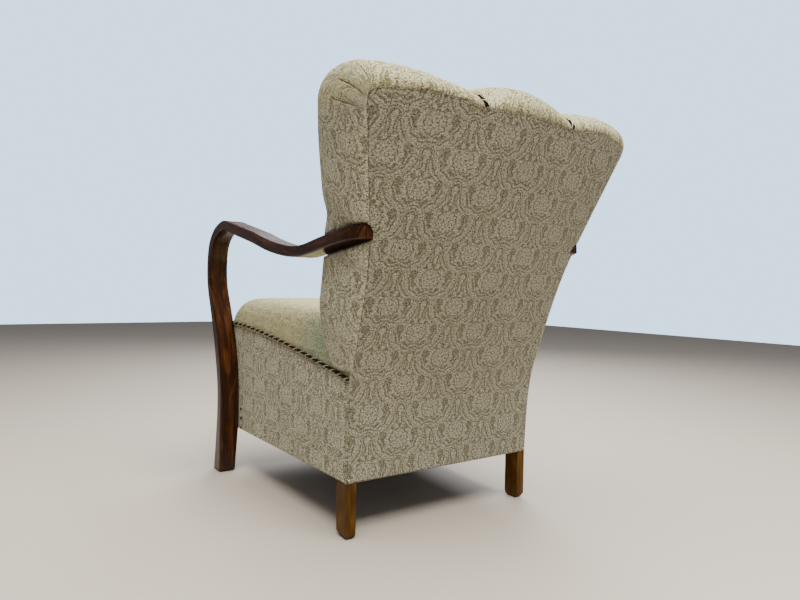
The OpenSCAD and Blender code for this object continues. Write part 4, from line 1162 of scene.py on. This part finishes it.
def cord_patches(path, radius, reference, sides=8):
    """Strands wound round a path: each stands at (length / pitch + its own share) turns, some way
    out from the middle. Two thick dark ones fill most of a turn, a thin cream one the rest."""
    run = np.insert(np.cumsum(np.linalg.norm(np.diff(path, axis=0), axis=1)), 0, 0)
    s = np.linspace(0, run[-1], int(run[-1] / (CORD_PITCH / 10)) + 1)
    line = np.stack([np.interp(s, run, path[:, k]) for k in range(3)], -1)
    along = unit(np.gradient(line, axis=0))
    one = unit(np.cross(along, reference))
    two = np.cross(one, along)
    ring = np.linspace(0, 2 * np.pi, sides + 1)[None, :, None]
    out = np.cos(ring) * one[:, None] + np.sin(ring) * two[:, None]
    taper = rounded(np.minimum(s, s[-1] - s) / 2.0 + 0.02)[:, None, None]
    flat = np.stack(np.broadcast_arrays(ring[..., 0] * 0.5 * radius, s[:, None]), -1) / 1000
    patches = []
    for own_turn, out_by, thick in STRANDS:
        turn = (2 * np.pi * (s / CORD_PITCH + own_turn))[:, None]
        middle = line + out_by * radius * (np.cos(turn) * one + np.sin(turn) * two)
        tube = middle[:, None] + thick * radius * taper * out
        patches.append((to_frame(tube), flat))
        for row in (0, -1):
            end = across(tube[row], np.broadcast_to(middle[row], tube[row].shape))
            patches.append((to_frame(end), np.zeros((*end.shape[:2], 2))))
    return patches


def lay_cord(name, patches, node):
    """One cord from its strands, in two colours of yarn."""
    cord = weld(name, patches, STRAND_COLOURS, 1e-6)
    dress(cord, [cord_dark, cord_light], [node])


y_run = np.linspace(SEAT_Y0 + 10, float(lean_y(cord_z(0.0))) - COVER_T - 1, 90)
side_line = points_of(side_x(y_run) + CORD_R + GAP, y_run, cord_z(y_run))
front_line = points_of(np.linspace(-1, 1, 60) * (float(side_x(FRONT_Y)) - CORD_D),
                       SEAT_Y0 - CORD_R - GAP, cord_z(FRONT_Y))
seat_cords = {**both_sides(cord_patches(side_line, CORD_R + SEAT_CORD_SWELL, (1.0, 0.0, 0.0))),
              "front": cord_patches(front_line, CORD_R + SEAT_CORD_SWELL, (0.0, 0.0, 1.0))}
for part, patches in seat_cords.items():
    lay_cord(f"{part}_seat_cord", patches, f"seat_cord_{part}")


# %% Cords in the valleys of the back
def valley_line(lift=2.4):
    """Up the valley, round the crest by angle and down to the seam of the outside back."""
    z_seam, z_top = float(seam_at(MID_X)), float(crown_at(MID_X))
    z_roll = z_top - ROLL_Z
    deep = float(crown_n(half_mid(z_roll), z_roll))
    z_face = np.linspace(CORD_FRONT_Z + 40, z_roll, 60)
    turn = np.radians(np.linspace(0, 90, 24))[1:]
    z_up = z_roll + (ROLL_Z + lift) * np.sin(turn)
    n_up = EDGE_TOP + (deep - EDGE_TOP + lift) * np.cos(turn)
    z_down = z_seam + (z_top - z_seam + lift) * np.sin(turn[::-1])
    n_down = EDGE_TOP - (EDGE_TOP + lift) * np.cos(turn[::-1])
    z = np.concatenate([z_face, z_up, z_down[1:]])
    n = np.concatenate([crown_n(half_mid(z_face), z_face) + lift, n_up, n_down[1:]])
    x = half_mid(np.minimum(z, z_top))
    return points_of(*over_back(x, z, n))


valley_cord = cord_patches(valley_line(), CORD_R, (1.0, 0.0, 0.0))
for side, patches in both_sides(valley_cord).items():
    lay_cord(f"{side}_valley_cord", patches, f"channel_cord_{side}")

# %% [markdown]
# ## Feet, tacks and nails
# The rear legs are sawn posts whose feet show below the cover, with worn edges. Their packed
# shape is right, so a merged copy gets a small bevel. The tacks and nails are turned shapes.


# %% Rear feet
def worn_copy(node, name, width=0.0013):
    """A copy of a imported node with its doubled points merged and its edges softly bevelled."""
    copy = bpy.data.objects.new(name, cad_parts[node].data.copy())
    copy.data.materials.clear()
    bpy.context.scene.collection.objects.link(copy)
    bm = bmesh.new()
    bm.from_mesh(copy.data)
    bmesh.ops.remove_doubles(bm, verts=bm.verts, dist=1e-6)
    bmesh.ops.dissolve_limit(bm, angle_limit=0.01, verts=bm.verts, edges=bm.edges)
    bm.to_mesh(copy.data)
    bm.free()
    bevel = copy.modifiers.new("worn_edges", "BEVEL")
    bevel.width, bevel.segments, bevel.limit_method = width, 3, "ANGLE"
    bevel.angle_limit = math.radians(40)
    return copy


for side in ("left", "right"):
    post = worn_copy(f"rear_leg_{side}", f"{side}_rear_post")
    dress(post, [foot_oak], [f"rear_leg_{side}"])


# %% Tacks and nails
def head_patches(r, h, centre, axis, steps=14):
    """A turned head: a flat base and a dome of radius r and height h, carried round an axis
    through its centre."""
    rise = np.linspace(0, np.pi / 2, 6)
    radius = np.append([0.0, r], r * np.cos(rise))[:, None, None]
    height = np.append([0.0, 0.0], h * np.sin(rise))[:, None, None]
    turn = np.linspace(0, 2 * np.pi, steps + 1)[:, None]
    axis = np.array(axis, float)
    points = centre + height * axis + radius * (
        np.cos(turn) * np.roll(axis, 1) + np.sin(turn) * np.roll(axis, 2))
    return to_frame(points), np.zeros((*points.shape[:2], 2))


TACK_Y, TACK_STEP = LEG_Y + FOOT_D / 2 + 9.0, 25
TACK_X, NAIL_X, NAIL_Z = float(side_x(TACK_Y - 2.2)) + 1.2, float(back_x(BOX_Z)) - 6, BOX_Z + 9
nail_y = float(lean_y(NAIL_Z)) + GAP
tacks = [head_patches(3.8, 1.8, (s * TACK_X, TACK_Y, BOX_Z + COVER_T + k * TACK_STEP), (s, 0, 0))
         for s in (1, -1) for k in range(3)]
nails = [head_patches(3.5, 1.9, (s * NAIL_X, nail_y, NAIL_Z), (0, 1, 0)) for s in (1, -1)]
dress(weld("front_tacks", tacks, near=1e-6), [black_iron], ["panel_tacks"])
dress(weld("rear_nails", nails, near=1e-6), [bright_nail], ["corner_nails"])

# %% [markdown]
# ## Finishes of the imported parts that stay
# Rails, springs, webbing and glides already have the right shape. They are hidden in the finished
# chair, but anyone who takes the cover off should find beech, steel and jute.

# %% Materials of the inner parts
kept_parts = {
    beech: ["front_rail", "rear_rail", "side_rail_left", "side_rail_right", "corner_blocks",
            "crest_rail", "lumbar_rail"],
    jute: ["seat_webbing", "seat_hessian", "back_webbing", "back_hessian"],
    spring_steel: ["seat_springs"],
    bolt_steel: ["leg_bolts", "arm_screws"],
    glide_black: ["foot_glides"],
    black_lining: ["dust_cover"]}
for finish, names in kept_parts.items():
    for name in names:
        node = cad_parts[name]
        node.data.materials.clear()
        node.data.materials.append(finish)
print("packed parts with a new finish:", sum(len(names) for names in kept_parts.values()))

# %% [markdown]
# ## Floor and light
# The chair stands on a plain pale floor. A broad light above gives the even light of a studio, a
# second one from the far side puts the soft highlight on the polish, and a weak one is beside
# the camera. The backdrop is seen only by the camera, so its blue doesn't colour the chair.

# %% Floor, world and lights
floor_finish = Finish("pale_floor", Roughness=0.6)
floor_finish.shader.inputs["Base Color"].default_value = (0.52, 0.46, 0.38, 1)
floor_mesh = bpy.data.meshes.new("floor")
floor_mesh.from_pydata([(-6, -7, 0), (6, -7, 0), (6, 5, 0), (-6, 5, 0)], [], [(0, 1, 2, 3)])
floor = bpy.data.objects.new("floor", floor_mesh)
floor.data.materials.append(floor_finish.material)
bpy.context.scene.collection.objects.link(floor)

world = bpy.data.worlds.new("studio")
world.use_nodes = True
studio, sky = world.node_tree, world.node_tree.nodes["Background"]
backdrop = studio.nodes.new("ShaderNodeBackground")
seen = studio.nodes.new("ShaderNodeLightPath")
either = studio.nodes.new("ShaderNodeMixShader")
for shader, colour, strength in ((sky, (0.86, 0.90, 1.0, 1), 0.24),
                                 (backdrop, (0.55, 0.76, 1.0, 1), 2.4)):
    shader.inputs[0].default_value, shader.inputs[1].default_value = colour, strength
sources = seen.outputs["Is Camera Ray"], sky.outputs[0], backdrop.outputs[0]
for source, socket in zip(sources, either.inputs):
    studio.links.new(source, socket)
studio.links.new(either.outputs[0], studio.nodes["World Output"].inputs[0])
bpy.context.scene.world = world


def soft_light(name, at, target, size, watts, colour=(1, 1, 1), mirrored_in_gloss=False):
    """A square area light that looks from one point to another."""
    data = bpy.data.lights.new(name, "AREA")
    data.size, data.energy, data.color = size, watts, colour
    z = -unit(np.array(target, float) - at)
    x = unit(np.cross((0, 1, 0.001), z))
    lamp = stand(name, data, (x, np.cross(z, x), z), at)
    lamp.visible_glossy = mirrored_in_gloss


soft_light("ceiling", (0.15, 0.75, 2.6), (0, 0, 0.3), 2.6, 232, (1.0, 0.98, 0.94))
soft_light("far_side", (-1.5, -1.9, 2.3), (0.2, 0, 0.6), 2.0, 85, (0.93, 0.95, 1.0), True)
soft_light("side_of_camera", (1.9, 2.6, 1.3), (0, 0, 0.4), 1.8, 7, (1.0, 0.97, 0.93))
